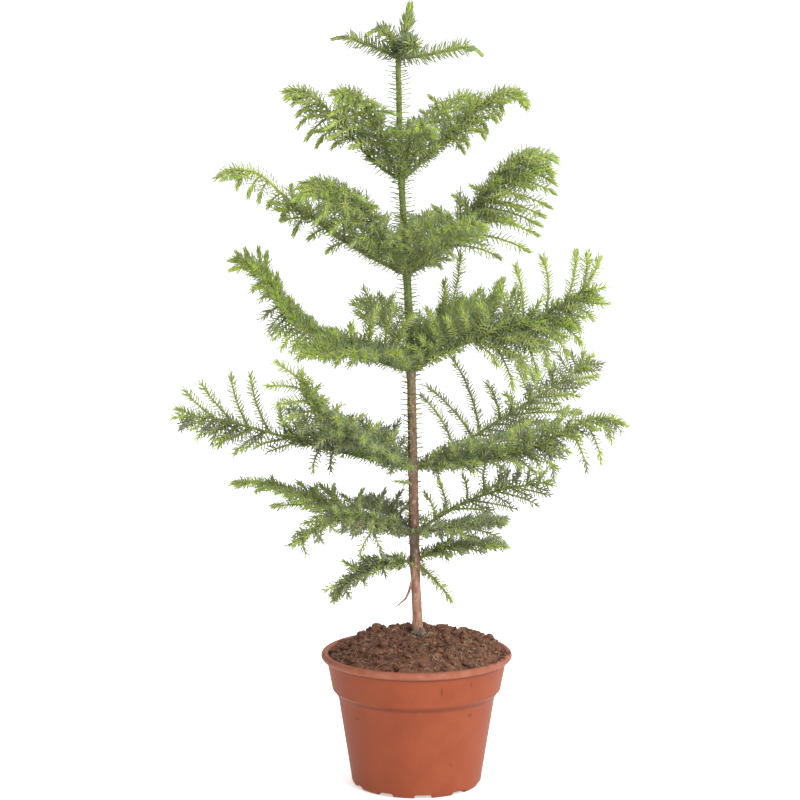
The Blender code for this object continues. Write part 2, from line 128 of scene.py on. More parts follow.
def newMaterial(name, build, **fixed):  # build gives what feeds the shader, and fixed its constants
    material = bpy.data.materials.new(name)
    material.use_nodes = True
    tree = material.node_tree
    shader = tree.nodes["Principled BSDF"]
    for socket, value in fixed.items():
        shader.inputs[socket.replace("_", " ")].default_value = value
    wire = Wire(tree)
    for socket, value in build(wire).items():
        wire.feed(shader.inputs[socket], value)
    return material


def newPiece(name, mesh, material, replaced=()):
    piece = bpy.data.objects.new(name, mesh)
    scene.collection.objects.link(piece)
    mesh.materials.clear()
    mesh.materials.append(material)
    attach(piece, "root")
    if replaced:
        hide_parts(*replaced)
    return piece


def meshOf(name, vertices, faces):
    mesh = bpy.data.meshes.new(name)
    mesh.from_pydata([tuple(v) for v in vertices], [], [tuple(f) for f in faces])
    mesh.shade_smooth()
    return mesh


# The growth rule, as in the part's source, here carried on to finer twigs

trunkShape = {
    "foot": 0.1375,
    "buried": 0.0040,  # how far it goes on into the mix
    "tip": 0.6610,
    "lean": (
        (0.1375, 0.0008), (0.1980, -0.0014), (0.2860, -0.0033), (0.3720, -0.0051), (0.4570, -0.0087),
        (0.5400, -0.0135), (0.6100, -0.0156), (0.6470, -0.0155), (0.6610, -0.0130),
    ),
    "footRadius": 0.0043,
    "tipRadius": 0.0022,
    "flareWidth": 0.0011,
    "flareHeight": 0.0090,
    "knuckleWidth": 0.0007,
    "knuckleHeight": 0.0060,
    "scarWidth": ((0.16, 0.24, 0.42, 0.50), (0, 0.0005, 0.0004, 0)),  # what the needles' bases add
    "strip": (  # a shred of bark that peels off near the foot
        (-0.0036, -0.0030, 0.1880), (-0.0052, -0.0042, 0.1810), (-0.0068, -0.0050, 0.1750),
        (-0.0098, -0.0056, 0.1686), (-0.0168, -0.0060, 0.1626),
    ),
    "stripRadii": (0.0008, 0.0011, 0.0012, 0.0010, 0.0006),
    "stripSides": 6,
    "topGap": 0.0005,
    "sides": 28,
    "ringStep": 0.0016,
    "ridges": (2.2, 0.0045, 0.055),  # how often they come round the trunk, their height and depth
    "grit": (5, 0.0030, 0.035),
    "scars": (0.0022, 0.0030, 0.045),
}

# Each frond: name, azimuth, sweep, reach, rises, spread, roll, droop, angle
# Each tier: name, height, limb radius, dihedral, step between side shoots, fronds
tiers = (
    ("tier7", 0.6470, 0.0014, 0, 0.0090, (
        ("left", 185, -10, 0.058, (14, 24, 15, -13), 0, 0, 0, 0),
        ("front_left", 235, 0, 0.057, (62, 42, -5, -25), 0, 0, 0, 0),
        ("front_right", 290, 0, 0.045, (35, 20, 0, -10), 0, 0, 0, 0),
        ("right", 350, 10, 0.072, (-6, 12, 12, -45), 0, 0, 0, 0),
    )),
    ("tier6", 0.5400, 0.0014, -8, 0.0090, (
        ("left", 184, -6, 0.134, (26, 52, 45, -20), 0.050, 12, -30, 56),
        ("front_left", 235, -10, 0.127, (44, 62, 40, -55), 0.042, 8, -22, 58),
        ("front", 285, 0, 0.095, (55, 50, 20, -10), 0.036, 0, -22, 58),
        ("right", 354, 0, 0.143, (40, 46, 38, -62), 0.046, -12, -22, 58),
        ("back_right", 45, 0, 0.125, (52, 54, 25, -25), 0.042, 0, -22, 58),
    )),
    ("tier5", 0.4570, 0.0015, -10, 0.0090, (
        ("left", 182, 0, 0.196, (24, 34, 44, -38), 0.052, 14, -16, 58),
        ("front_left", 228, 0, 0.168, (40, 54, 21, -48), 0.052, 6, -16, 58),
        ("front_right", 300, 0, 0.130, (38, 32, 20, 0), 0.048, 0, -16, 58),
        ("right", 346, 6, 0.176, (28, 54, 50, -34), 0.074, -26, -44, 48),
        ("back", 78, 0, 0.125, (30, 28, 15, 0), 0.048, 0, -16, 58),
    )),
    ("tier4", 0.3720, 0.0016, 4, 0.0090, (
        ("left", 184, 0, 0.192, (17, 22, 62, 5), 0.046, 10, -8, 58),
        ("front_left", 228, 0, 0.134, (32, 20, 0, -14), 0.058, 8, -10, 58),
        ("right", 350, 4, 0.200, (35, 17, 30, 78), 0.062, -58, 4, 66),
        ("back_right", 52, 0, 0.130, (30, 28, 20, 15), 0.050, 0, 8, 62),
        ("back_left", 112, 0, 0.125, (28, 30, 22, 10), 0.046, 0, 6, 62),
    )),
    ("tier3", 0.2860, 0.0016, 10, 0.0105, (
        ("left", 184, 0, 0.217, (12, 15, 17, -6), 0.060, 52, 2, 62),
        ("front_left", 224, 0, 0.172, (24, 26, 42, 76), 0.050, 16, 0, 60),
        ("right", 342, 12, 0.200, (9, 9, 36, -30), 0.056, -34, -24, 56),
        ("back_right", 38, 0, 0.228, (12, 22, 20, 34), 0.068, -18, 4, 80),
        ("back_left", 132, 0, 0.130, (15, 14, 12, 10), 0.050, 0, 2, 62),
    )),
    ("tier2", 0.2260, 0.0014, 4, 0.0105, (
        ("left", 178, 0, 0.170, (9, 26, 16, -11), 0.042, 12, -12, 56),
        ("front_left", 212, 0, 0.132, (19, 20, -17, -38), 0.044, 8, -20, 56),
        ("front_right", 326, 0, 0.098, (15, 14, 10, 3), 0.042, -10, -8, 58),
        ("back_right", 22, 0, 0.142, (33, 22, 4, 6), 0.050, -24, 2, 72),
        ("back_left", 120, 0, 0.095, (16, 14, 6, 0), 0.040, 0, 0, 60),
    )),
    ("tier1", 0.2000, 0.0012, 4, 0.0095, (
        ("left", 190, 0, 0.086, (14, -13, -40, -66), 0.030, 8, -14, 56),
        ("right", 8, 0, 0.087, (40, 8, 0, -14), 0.024, -8, -10, 56),
        ("low_right", 348, 0, 0.048, (-34, -42, -50, -60), 0, 0, 0, 0),
    )),
)

growth = {
    "limbSteps": 48,
    "risePlaces": (0, 0.35, 0.75, 1),
    "firstShoot": 0.07,  # shares of the limb between which its side shoots stand
    "lastShoot": 0.95,
    "firstOfPair": 0.30,  # in shares of the step between pairs
    "stagger": 0.42,
    "alongSpread": 0.12,  # how unevenly shoots stand along the limb
    "angleFall": 16,  # angles are in degrees
    "angleSpread": 7,
    "liftSpread": 7,
    "lengthSpread": 0.16,
    "shootSteps": 9,
    "forwardBend": 0.35,
    "waver": 0.10,
    "bow": 0.15,  # how far a twig with a given tip bends ahead, of its length
    "fill": 0.80,  # length of the other side shoots on a frond that has such twigs
    "aimSpread": 0.03,
    "fillAlongSpread": 0.4,
    "fillTurnSpread": 30,
    "fillAngles": (40, 66),
    "fillLengths": (0.6, 1.15),
    "fillShortening": 0.45,  # from the trunk to the limb's tip
    "fillDroop": 0.5,
    "apart": 0.0030,  # least distance between twigs of two fronds
    "checkStep": 0.0030,
    "joint": 0.25,  # share of a shoot by its limb where it may be closer
    "shortest": 0.0090,
    "shortening": 0.82,
    "tries": 5,
    "leader": (4, 0, 0.0275, (72, 74, 80, 86)),
    "spurs": (  # short side shoots on the trunk: line, needles' length in millimetres, dusky share
        (((-0.0045, -0.0035, 0.2722), (-0.0192, -0.0060, 0.2742)), 4.6, 0.6),
        (((-0.0024, -0.0034, 0.2288), (-0.0034, -0.0125, 0.2318)), 4.4, 0.5),
        (((0.0004, -0.0034, 0.2300), (0.0016, -0.0110, 0.2328)), 4.2, 0.5),
        (((-0.0036, -0.0032, 0.1986), (-0.0048, -0.0090, 0.2008)), 3.6, 0.5),
    ),
    "seed": 7,
}

# Twigs that stand out on this plant: share of the limb where each leaves it, and its tip in millimetres
twigTips = {
    "tier6_left": (
        (0.81, -107, -6, 606), (0.73, -103, -10, 597), (0.69, -102, -14, 587), (0.62, -95, -16, 577),
        (0.54, -86, -16, 571), (0.42, -73, -18, 569), (0.46, -62, 10, 602),
    ),
    "tier6_front_left": (
        (0.83, -66, -60, 615), (0.71, -32, -51, 607), (0.60, -20, -48, 600), (0.69, -73, -55, 600),
        (0.60, -77, -52, 588), (0.48, -73, -52, 580), (0.33, -57, -47, 571), (0.33, -16, -35, 587),
    ),
    "tier6_front": (
        (0.42, -7, -38, 592), (0.60, 3, -49, 593), (0.50, 13, -47, 580), (0.54, -22, -50, 585),
        (0.27, 6, -37, 569), (0.27, -22, -35, 570),
    ),
    "tier6_right": (
        (0.75, 74, -18, 600), (0.69, 72, 2, 594), (0.60, 60, -15, 583), (0.54, 58, -20, 578),
        (0.46, 44, -19, 571), (0.65, 68, -29, 592), (0.38, 40, -20, 566), (0.56, 45, -26, 611),
        (0.42, 25, -17, 600), (0.31, 9, -17, 583),
    ),
    "tier6_back_right": (
        (0.60, 12, 46, 609), (0.73, 47, 38, 600), (0.48, 4, 36, 597), (0.48, 29, 38, 590),
    ),
    "tier5_left": (
        (0.85, -156, -11, 534), (0.79, -146, -12, 527), (0.75, -137, -14, 523), (0.67, -129, -20, 518),
        (0.60, -117, -17, 507), (0.52, -107, -17, 494), (0.42, -94, -20, 490), (0.31, -78, -22, 479),
        (0.58, -108, -29, 537), (0.50, -101, -33, 525), (0.40, -75, -36, 519), (0.27, -56, -32, 506),
        (0.17, -39, -25, 495),
    ),
    "tier5_front_left": (
        (0.75, -88, -83, 547), (0.67, -47, -69, 529), (0.56, -35, -58, 522), (0.46, -27, -52, 510),
        (0.75, -77, -91, 520), (0.67, -59, -87, 517), (0.60, -86, -73, 510), (0.50, -73, -68, 501),
        (0.35, -56, -56, 488), (0.35, -16, -46, 494),
    ),
    "tier5_front_right": (
        (0.60, 38, -69, 493), (0.46, 30, -59, 480), (0.29, 20, -43, 468), (0.69, 26, -78, 517),
        (0.46, 9, -55, 508), (0.29, -3, -41, 498), (0.36, -6, -48, 512), (0.22, -12, -36, 486),
        (0.15, -15, -30, 477), (0.30, -14, -42, 502),
    ),
    "tier5_right": (
        (0.83, 108, -28, 548), (0.73, 119, -32, 539), (0.69, 117, -43, 532), (0.60, 114, -34, 519),
        (0.54, 108, -44, 512), (0.50, 106, -30, 503), (0.42, 103, -42, 496), (0.33, 96, -34, 481),
        (0.25, 71, -42, 476), (0.33, 14, -20, 518), (0.44, 32, -20, 527), (0.56, 47, -21, 536),
        (0.65, 64, 0, 545),
    ),
    "tier5_back": (
        (0.46, 16, 79, 503), (0.35, -11, 68, 497),
    ),
    "tier4_left": (
        (0.90, -156, -16, 477), (0.85, -149, -5, 478), (0.83, -138, -1, 479), (0.79, -131, 3, 475),
        (0.90, -161, -20, 463), (0.79, -145, -25, 471), (0.73, -141, -22, 448), (0.67, -135, -20, 421),
        (0.58, -124, -17, 402), (0.50, -109, -18, 392), (0.44, -104, -17, 384), (0.56, -115, 9, 432),
        (0.46, -97, 10, 419), (0.67, -122, 2, 456), (0.75, -137, 4, 434), (0.63, -129, -30, 411),
        (0.61, -127, -4, 404), (0.54, -116, 2, 402), (0.52, -118, -30, 396), (0.47, -109, -2, 391),
        (0.42, -99, -4, 386), (0.81, -144, -12, 444),
    ),
    "tier4_front_left": (
        (0.60, -56, -68, 422), (0.52, -34, -58, 434), (0.29, -20, -40, 433), (0.42, -39, -60, 420),
        (0.75, -81, -82, 406), (0.67, -78, -72, 392), (0.60, -70, -68, 388), (0.67, -71, -76, 415),
        (0.46, -58, -58, 385), (0.14, -8, -26, 396), (0.20, -12, -34, 408), (0.10, 0, -20, 388),
        (0.26, -4, -38, 424),
    ),
    "tier4_right": (
        (0.65, 109, -12, 473), (0.54, 86, -9, 465), (0.46, 72, -17, 449), (0.75, 138, -12, 477),
        (0.85, 148, -18, 477), (0.79, 156, -27, 440), (0.75, 153, -28, 422), (0.71, 141, -29, 412),
        (0.67, 135, -40, 416), (0.65, 143, -28, 399), (0.60, 131, -31, 390), (0.56, 114, -30, 381),
        (0.50, 105, -26, 370), (0.46, 95, -27, 370), (0.38, 84, -23, 360), (0.31, 70, -31, 381),
        (0.38, 55, -27, 433), (0.29, 39, -30, 428), (0.23, 25, -27, 422), (0.15, 15, -22, 411),
        (0.10, 3, -22, 404), (0.07, -2, -20, 394), (0.18, 8, -28, 430), (0.13, 12, -16, 396),
    ),
    "tier4_back_right": (
        (0.38, 39, 44, 470), (0.27, 25, 30, 447), (0.52, 57, 59, 437), (0.60, 68, 65, 414),
        (0.23, 7, 34, 411), (0.46, 55, 53, 401),
    ),
    "tier4_back_left": (
        (0.38, -33, 46, 434), (0.23, -47, 37, 440), (0.54, -49, 63, 411), (0.60, -20, 72, 430),
        (0.40, -6, 52, 423),
    ),
    "tier3_left": (
        (0.69, -163, 0, 368), (0.60, -146, 1, 368), (0.75, -189, -3, 361), (0.83, -204, -4, 355),
        (0.90, -211, -9, 340), (0.94, -206, -22, 323), (0.83, -192, -22, 315), (0.79, -179, -22, 310),
        (0.73, -174, -25, 308), (0.62, -160, -23, 302), (0.52, -141, -26, 309), (0.38, -91, -26, 286),
        (0.33, -75, -27, 287), (0.52, -120, -2, 343), (0.44, -102, -36, 334), (0.25, -69, -28, 320),
        (0.17, -48, -24, 316),
    ),
    "tier3_front_left": (
        (0.88, -128, -89, 371), (0.92, -120, -91, 392), (0.81, -120, -91, 355), (0.75, -115, -85, 340),
        (0.67, -100, -80, 331), (0.56, -87, -70, 317), (0.85, -83, -90, 372), (0.79, -76, -85, 359),
        (0.67, -65, -62, 351), (0.54, -47, -52, 341), (0.40, -32, -37, 331), (0.48, -70, -65, 311),
        (0.23, -17, -17, 322),
    ),
    "tier3_right": (
        (0.88, 169, -43, 315), (0.81, 160, -43, 298), (0.73, 148, -41, 290), (0.60, 119, -39, 282),
        (0.54, 107, -41, 291), (0.73, 141, -53, 319), (0.62, 112, -40, 333), (0.52, 98, -40, 326),
        (0.44, 82, -39, 324), (0.35, 65, -33, 318), (0.27, 46, -29, 315), (0.19, 29, -23, 311),
        (0.10, 20, -14, 276), (0.31, 77, -39, 291), (0.40, 91, -45, 293),
    ),
    "tier3_back_right": (
        (0.21, 4, 18, 347), (0.31, 9, 34, 353), (0.35, 32, 39, 378), (0.46, 62, 35, 356),
        (0.52, 79, 35, 346), (0.62, 101, 57, 349), (0.50, 147, 52, 326), (0.69, 148, 81, 337),
        (0.79, 166, 99, 352), (0.60, 129, 62, 332), (0.88, 157, 101, 360), (0.42, 101, 36, 315),
        (0.75, 123, 91, 360), (0.90, 154, 120, 372),
    ),
    "tier3_back_left": (
        (0.29, -15, 33, 323), (0.46, -49, 51, 320),
    ),
    "tier2_left": (
        (0.46, -127, -13, 253), (0.52, -89, -3, 270), (0.42, -73, -6, 270), (0.65, -112, -8, 258),
        (0.83, -142, -3, 264), (0.77, -128, 10, 275), (0.31, -48, 12, 263), (0.19, -28, 11, 263),
        (0.35, -78, -18, 240),
    ),
    "tier2_front_left": (
        (0.90, -96, -66, 222), (0.81, -82, -61, 231), (0.35, -28, -39, 214), (0.29, -50, -33, 215),
        (0.69, -69, -54, 239), (0.52, -51, -45, 237), (0.60, -72, -49, 259), (0.44, -50, -35, 258),
    ),
    "tier2_front_right": (
        (0.46, 77, -18, 242), (0.54, 73, -35, 229), (0.29, 54, -25, 226), (0.35, 47, -11, 244),
    ),
    "tier2_back_right": (
        (0.25, 19, 18, 270), (0.40, 41, 27, 274), (0.50, 81, 34, 275), (0.42, 89, 6, 247),
        (0.60, 109, 19, 248), (0.73, 119, 30, 255), (0.29, 65, -2, 246), (0.17, 7, 14, 260),
        (0.67, 93, 39, 273), (0.81, 116, 44, 274),
    ),
    "tier2_back_left": (
        (0.46, -13, 44, 256), (0.54, -40, 51, 252),
    ),
    "tier1_left": (
        (0.71, -81, -16, 178), (0.52, -64, -4, 201), (0.38, -49, -2, 206), (0.79, -59, -17, 172),
        (0.58, -45, -16, 183), (0.35, -27, -13, 191),
    ),
    "tier1_right": (
        (0.35, 51, 8, 221), (0.52, 69, 12, 219), (0.46, 60, -3, 210), (0.29, 28, -3, 203),
    ),
}

# Shares of the limb from and to which a frond's upper or lower rank has only the twigs of twigTips
bareAbove = {
    "tier6_left": (0, 1), "tier5_left": (0.50, 1), "tier5_back": (0, 1), "tier4_right": (0.44, 1),
    "tier4_back_right": (0, 1), "tier4_back_left": (0, 0.5), "tier3_left": (0.48, 1),
    "tier3_front_left": (0.70, 1), "tier3_right": (0.74, 1), "tier3_back_right": (0, 0.62),
    "tier2_left": (0.6, 1), "tier2_back_right": (0, 0.50),
}
bareBelow = {
    "tier6_left": (0, 0.42), "tier6_front": (0, 0.40), "tier6_right": (0, 0.36),
    "tier5_left": (0, 0.46, 0.62, 0.80), "tier5_front_right": (0, 0.45), "tier5_right": (0, 0.45),
    "tier4_left": (0, 0.46), "tier4_right": (0, 0.40, 0.84, 1), "tier3_left": (0, 0.56),
    "tier3_right": (0, 0.48), "tier2_left": (0, 0.30), "tier2_back_right": (0, 0.35),
}

# Fill between the two ranks: shares of the limb from and to, step, length, and turn about the limb, which is
# 0 for upright and 90 for level towards the front
fillRanks = {
    "tier7_front_right": (
        (0.2, 0.95, 0.0050, 0.010, -40), (0.2, 0.95, 0.0050, 0.010, 60),
        (0.2, 0.95, 0.0050, 0.010, 150),
    ),
    "tier6_left": ((0.12, 0.60, 0.0100, 0.032, -20), (0.20, 0.60, 0.0100, 0.030, 50)),
    "tier6_front_left": ((0.20, 0.80, 0.0120, 0.030, 140),),
    "tier6_right": (
        (0.10, 0.40, 0.0110, 0.030, 10), (0.20, 0.70, 0.0120, 0.030, 70),
        (0.38, 0.75, 0.0120, 0.026, 130),
    ),
    "tier5_left": ((0.08, 0.50, 0.0080, 0.040, -10), (0.10, 0.58, 0.0085, 0.034, 50)),
    "tier5_front_left": (
        (0.15, 0.80, 0.0080, 0.038, 110), (0.15, 0.80, 0.0080, 0.040, 160),
        (0.2, 0.7, 0.0085, 0.026, 60),
    ),
    "tier5_right": (
        (0.10, 0.42, 0.0080, 0.032, 0), (0.15, 0.72, 0.0110, 0.032, 70), (0.28, 0.84, 0.0105, 0.060, 112),
        (0.28, 0.84, 0.0100, 0.060, 150),
    ),
    "tier4_left": (
        (0.20, 0.96, 0.0085, 0.013, -20), (0.20, 0.84, 0.0080, 0.013, 60),
        (0.30, 0.93, 0.0085, 0.016, 150),
    ),
    "tier4_front_left": ((0.15, 0.80, 0.0070, 0.020, 20), (0.15, 0.80, 0.0070, 0.018, 80)),
    "tier4_right": (
        (0.03, 0.50, 0.0070, 0.042, 0), (0.03, 0.60, 0.0080, 0.032, 45), (0.04, 0.80, 0.0070, 0.022, 85),
        (0.34, 0.86, 0.0066, 0.056, 160), (0.34, 0.86, 0.0070, 0.050, 125),
    ),
    "tier4_back_right": ((0.06, 0.60, 0.0070, 0.042, 0), (0.10, 0.70, 0.0080, 0.032, -60)),
    "tier3_left": (
        (0.05, 0.50, 0.0080, 0.036, -15), (0.05, 0.50, 0.0080, 0.032, 40), (0.05, 0.50, 0.0100, 0.022, 85),
        (0.50, 0.86, 0.0130, 0.044, 160),
    ),
    "tier3_right": (
        (0.05, 0.66, 0.0066, 0.030, 15), (0.05, 0.66, 0.0070, 0.026, 60), (0.08, 0.62, 0.0075, 0.018, 110),
        (0.45, 0.80, 0.0080, 0.030, 160),
    ),
    "tier3_front_left": ((0.15, 0.80, 0.0080, 0.026, 130),),
    "tier2_left": ((0.10, 0.60, 0.0090, 0.016, 95),),
    "tier2_front_left": (
        (0.10, 0.90, 0.0080, 0.016, 20), (0.10, 0.90, 0.0080, 0.014, 90),
        (0.24, 0.52, 0.0042, 0.024, 165),
    ),
    "tier2_back_right": ((0.08, 0.70, 0.0100, 0.016, 45),),
    "tier1_left": ((0.10, 0.90, 0.0085, 0.014, 40), (0.10, 0.90, 0.0085, 0.012, 110)),
    "tier1_right": ((0.10, 0.90, 0.0100, 0.014, 75),),
}


def trunkMiddle(height):
    heights = [h for h, _ in trunkShape["lean"]]
    leans = [x for _, x in trunkShape["lean"]]
    if height <= heights[0]:
        return np.array((leans[0], 0.0, height))
    i = int(np.clip(np.searchsorted(heights, height) - 1, 0, len(heights) - 2))
    slopes = np.gradient(leans, heights)
    slopes[0] = 0
    span = heights[i + 1] - heights[i]
    t = (height - heights[i]) / span
    x = leans[i] * (1 + 2 * t) * (1 - t) ** 2 + slopes[i] * span * t * (1 - t) ** 2
    x += leans[i + 1] * t * t * (3 - 2 * t) + slopes[i + 1] * span * t * t * (t - 1)
    return np.array((x, 0.0, height))


def trunkRadius(height):
    shape = trunkShape
    share = (height - shape["foot"]) / (shape["tip"] - shape["foot"])
    radius = shape["footRadius"] + (shape["tipRadius"] - shape["footRadius"]) * share
    radius += shape["flareWidth"] * math.exp(-max(0, height - shape["foot"]) / shape["flareHeight"])
    for tier in tiers:
        radius += shape["knuckleWidth"] * math.exp(-(((height - tier[1]) / shape["knuckleHeight"]) ** 2))
    return radius


def limbLine(root, azimuth, sweep, reach, rises):
    steps = growth["limbSteps"]
    places, ways = [np.array(root, float)], []
    for i in range(steps):
        t = (i + 0.5) / steps
        rise = math.radians(np.interp(t, growth["risePlaces"], rises))
        heading = math.radians(azimuth + sweep * t)
        level = math.cos(rise)
        way = np.array((level * math.cos(heading), level * math.sin(heading), math.sin(rise)))
        places.append(places[-1] + way * reach / steps)
        ways.append(way)
    return np.array(places), np.array([*ways, ways[-1]])


def at(line, share):
    i = np.clip(share, 0, 1) * (len(line) - 1)
    low = min(int(i), len(line) - 2)
    return line[low] + (line[low + 1] - line[low]) * (i - low)


def lengthOf(points):
    return float(np.linalg.norm(np.diff(points, axis=0), axis=1).sum())


def stretch(line, start, end, count):
    return np.array([at(line, start + (end - start) * i / (count - 1)) for i in range(count)])


def sideFrame(way, roll):
    side = np.cross(way, (0, 0, 1))
    side /= np.linalg.norm(side)
    up = np.cross(side, way)
    turn = math.radians(roll)
    return side * math.cos(turn) + up * math.sin(turn), up * math.cos(turn) - side * math.sin(turn)


def shootShare(t):  # short at the trunk, longest at a third, and shorter towards the tip
    return min(1, 0.6 + 1.6 * t) * (1 - 0.70 * max(0, (t - 0.35) / 0.65) ** 1.2)


def shootPoints(root, way, ahead, length, droop, chance):
    points = [root]
    steps = growth["shootSteps"]
    waver = np.array([chance.uniform(-1, 1) for _ in range(3)]) * growth["waver"]
    for s in range(steps):
        w = (s + 0.5) / steps
        bent = way + np.array((0, 0, math.tan(math.radians(droop)) * w)) + ahead * growth["forwardBend"] * w
        bent = bent + waver * math.sin(math.tau * w)
        bent /= np.linalg.norm(bent)
        points.append(points[-1] + bent * length / steps)
    return np.array(points)


def sideShoots(frond, chance):
    first, last = growth["firstShoot"], growth["lastShoot"]
    pairs = max(1, round(frond["reach"] * (last - first) / frond["step"]))
    for k in range(pairs):
        for side in (-1, 1):
            uneven = chance.uniform(-growth["alongSpread"], growth["alongSpread"])
            t = (k + growth["firstOfPair"] + growth["stagger"] * (side > 0) + uneven) / pairs
            share = first + (last - first) * t
            way = at(frond["ways"], share)
            across, up = sideFrame(way, frond["roll"])
            angle = frond["angle"] + growth["angleFall"] * (0.5 - t)
            angle = math.radians(angle + chance.uniform(-1, 1) * growth["angleSpread"])
            spread = growth["liftSpread"]
            lift = math.radians(frond["dihedral"] + chance.uniform(-spread, spread))
            length = frond["spread"] * shootShare(t) * (1 + chance.uniform(-1, 1) * growth["lengthSpread"])
            aside = side * across * math.cos(lift) + up * math.sin(lift)
            out = way * math.cos(angle) + aside * math.sin(angle)
            bare = bareAbove if out[2] > way[2] * math.cos(angle) else bareBelow
            parts = bare.get(frond["name"], ())
            if any(low <= share < high for low, high in zip(parts[::2], parts[1::2])):
                continue
            yield share, shootPoints(at(frond["line"], share), out, way, length, frond["droop"], chance)


def fillShoots(frond, chance):
    for first, last, step, length, turn in fillRanks.get(frond["name"], ()):
        for share in np.arange(first, last, step / frond["reach"]):
            share += chance.uniform(-1, 1) * growth["fillAlongSpread"] * step / frond["reach"]
            way = at(frond["ways"], share)
            across, up = sideFrame(way, 0)
            near = across * (-1 if across[1] > 0 else 1)
            about = math.radians(turn + chance.uniform(-1, 1) * growth["fillTurnSpread"])
            angle = math.radians(chance.uniform(*growth["fillAngles"]))
            out = way * math.cos(angle) + (up * math.cos(about) + near * math.sin(about)) * math.sin(angle)
            long = length * chance.uniform(*growth["fillLengths"]) * (1 - growth["fillShortening"] * share)
            droop = frond["droop"] * growth["fillDroop"]
            yield share, shootPoints(at(frond["line"], share), out, way, long, droop, chance)


def aimedShoots(frond, chance):
    for share, x, y, z in twigTips.get(frond["name"], ()):
        root, tip = at(frond["line"], share), np.array((x, y, z)) / 1000
        long = np.linalg.norm(tip - root)
        middle = (root + tip) / 2 + at(frond["ways"], share) * long * growth["bow"]
        spread = growth["aimSpread"]
        middle = middle + np.array([chance.uniform(-spread, spread) for _ in range(3)]) * long
        steps = np.linspace(0, 1, growth["shootSteps"] + 1)[:, None]
        yield share, root * (1 - steps) ** 2 + middle * 2 * steps * (1 - steps) + tip * steps ** 2


class Space:  # where limbs and shoots already are
    def __init__(self):
        self.points, self.owners = np.empty((0, 3)), np.empty(0, int)

    def spots(self, line, start):
        return stretch(line, start, 1, max(2, int(lengthOf(line) / growth["checkStep"]) + 1))

    def add(self, line, owner):
        points = self.spots(line, 0)
        self.points = np.vstack((self.points, points))
        self.owners = np.append(self.owners, np.full(len(points), owner))

    def isClear(self, line, owner):
        points = self.spots(line, growth["joint"])
        others = self.points[self.owners != owner]
        apart = np.linalg.norm(points[:, None] - others[None], axis=2)
        return bool((apart > growth["apart"]).all())


def trunkLine(low, high, count):
    return np.array([trunkMiddle(height) for height in np.linspace(low, high, count)])


def bareFronds():  # the limbs by themselves
    for tierName, height, limbRadius, dihedral, step, rows in tiers:
        for name, azimuth, sweep, reach, rises, spread, roll, droop, angle in rows:
            line, ways = limbLine(trunkMiddle(height), azimuth, sweep, reach, rises)
            yield {
                "name": f"{tierName}_{name}", "tier": tierName, "radius": limbRadius, "dihedral": dihedral,
                "step": step, "reach": reach, "spread": spread, "roll": roll, "droop": droop, "angle": angle,
                "line": line, "ways": ways, "shoots": [], "fill": [],
            }


def shortened(points):
    return points[0] + (points - points[0]) * growth["shortening"]


def growFronds():
    space = Space()
    space.add(trunkLine(trunkShape["foot"], trunkShape["tip"], 120), -1)
    fronds = list(bareFronds())
    for i, frond in enumerate(fronds):
        space.add(frond["line"], i)
    for i, frond in enumerate(fronds):
        chance = random.Random(growth["seed"] + i)
        for share, points in aimedShoots(frond, chance):
            frond["shoots"].append((share, points))
            space.add(points[2:], i + 100)  # a given twig counts as another frond's
        if frond["shoots"]:
            frond["spread"] *= growth["fill"]
        for share, points in sideShoots(frond, chance) if frond["spread"] else ():
            for _ in range(growth["tries"]):
                if space.isClear(points, i):
                    frond["shoots"].append((share, points))
                    space.add(points, i)
                    break
                points = shortened(points)
                if lengthOf(points) < growth["shortest"]:
                    break
        for share, points in fillShoots(frond, chance):
            for _ in range(growth["tries"]):
                if space.isClear(points, i):
                    frond["fill"].append((share, points))
                    break
                points = shortened(points)
    return fronds


# Tubes and needles

def framesAlong(points):  # way, across and up at each point, carried along without twist
    ways = np.gradient(points, axis=0)
    ways /= np.linalg.norm(ways, axis=1)[:, None]
    first = np.cross(ways[0], (0, 0, 1) if abs(ways[0][2]) < 0.9 else (0, 1, 0))
    acrosses = [first / np.linalg.norm(first)]
    for way in ways[1:]:
        across = acrosses[-1] - way * acrosses[-1].dot(way)
        acrosses.append(across / np.linalg.norm(across))
    acrosses = np.array(acrosses)
    return ways, acrosses, np.cross(acrosses, ways)


def tubeParts(points, radii, sides, first, relief=None):  # vertices and faces of one tube with a pointed end
    _, across, up = framesAlong(points)
    turns = np.arange(sides) * math.tau / sides
    wide = np.array(radii)[:, None] * (1 if relief is None else relief)
    ring = across[:, None] * np.cos(turns)[None, :, None] + up[:, None] * np.sin(turns)[None, :, None]
    vertices = (points[:, None] + ring * wide[..., None]).reshape(-1, 3)
    count = len(points)
    faces = []
    for i in range(count - 1):
        for a in range(sides):
            b = (a + 1) % sides
            low, high = first + i * sides, first + (i + 1) * sides
            faces.append((low + a, low + b, high + b, high + a))
    tip = first + count * sides
    faces += [(tip - sides + a, tip - sides + (a + 1) % sides, tip) for a in range(sides)]
    vertices = np.vstack((vertices, points[-1] + (points[-1] - points[-2]) * 0.35))
    return vertices, faces


def joinedTubes(name, tubes, sides):  # each tube is (points, radii, relief or None)
    vertices, faces, count = [], [], 0
    for points, radii, relief in tubes:
        made, madeFaces = tubeParts(points, radii, sides, count, relief)
        vertices.append(made)
        faces += madeFaces
        count += len(made)
    return meshOf(name, np.vstack(vertices), faces)


tones = {  # base colours, from the shaded heart of the crown to the youngest tips
    "dark": (0.173, 0.210, 0.087),
    "dusky": (0.208, 0.235, 0.134),
    "shade": (0.216, 0.267, 0.110),
    "mid": (0.261, 0.322, 0.127),
    "light": (0.297, 0.367, 0.136),
    "bright": (0.314, 0.412, 0.102),
    "tip": (0.338, 0.446, 0.092),
}
toneNames = tuple(tones)

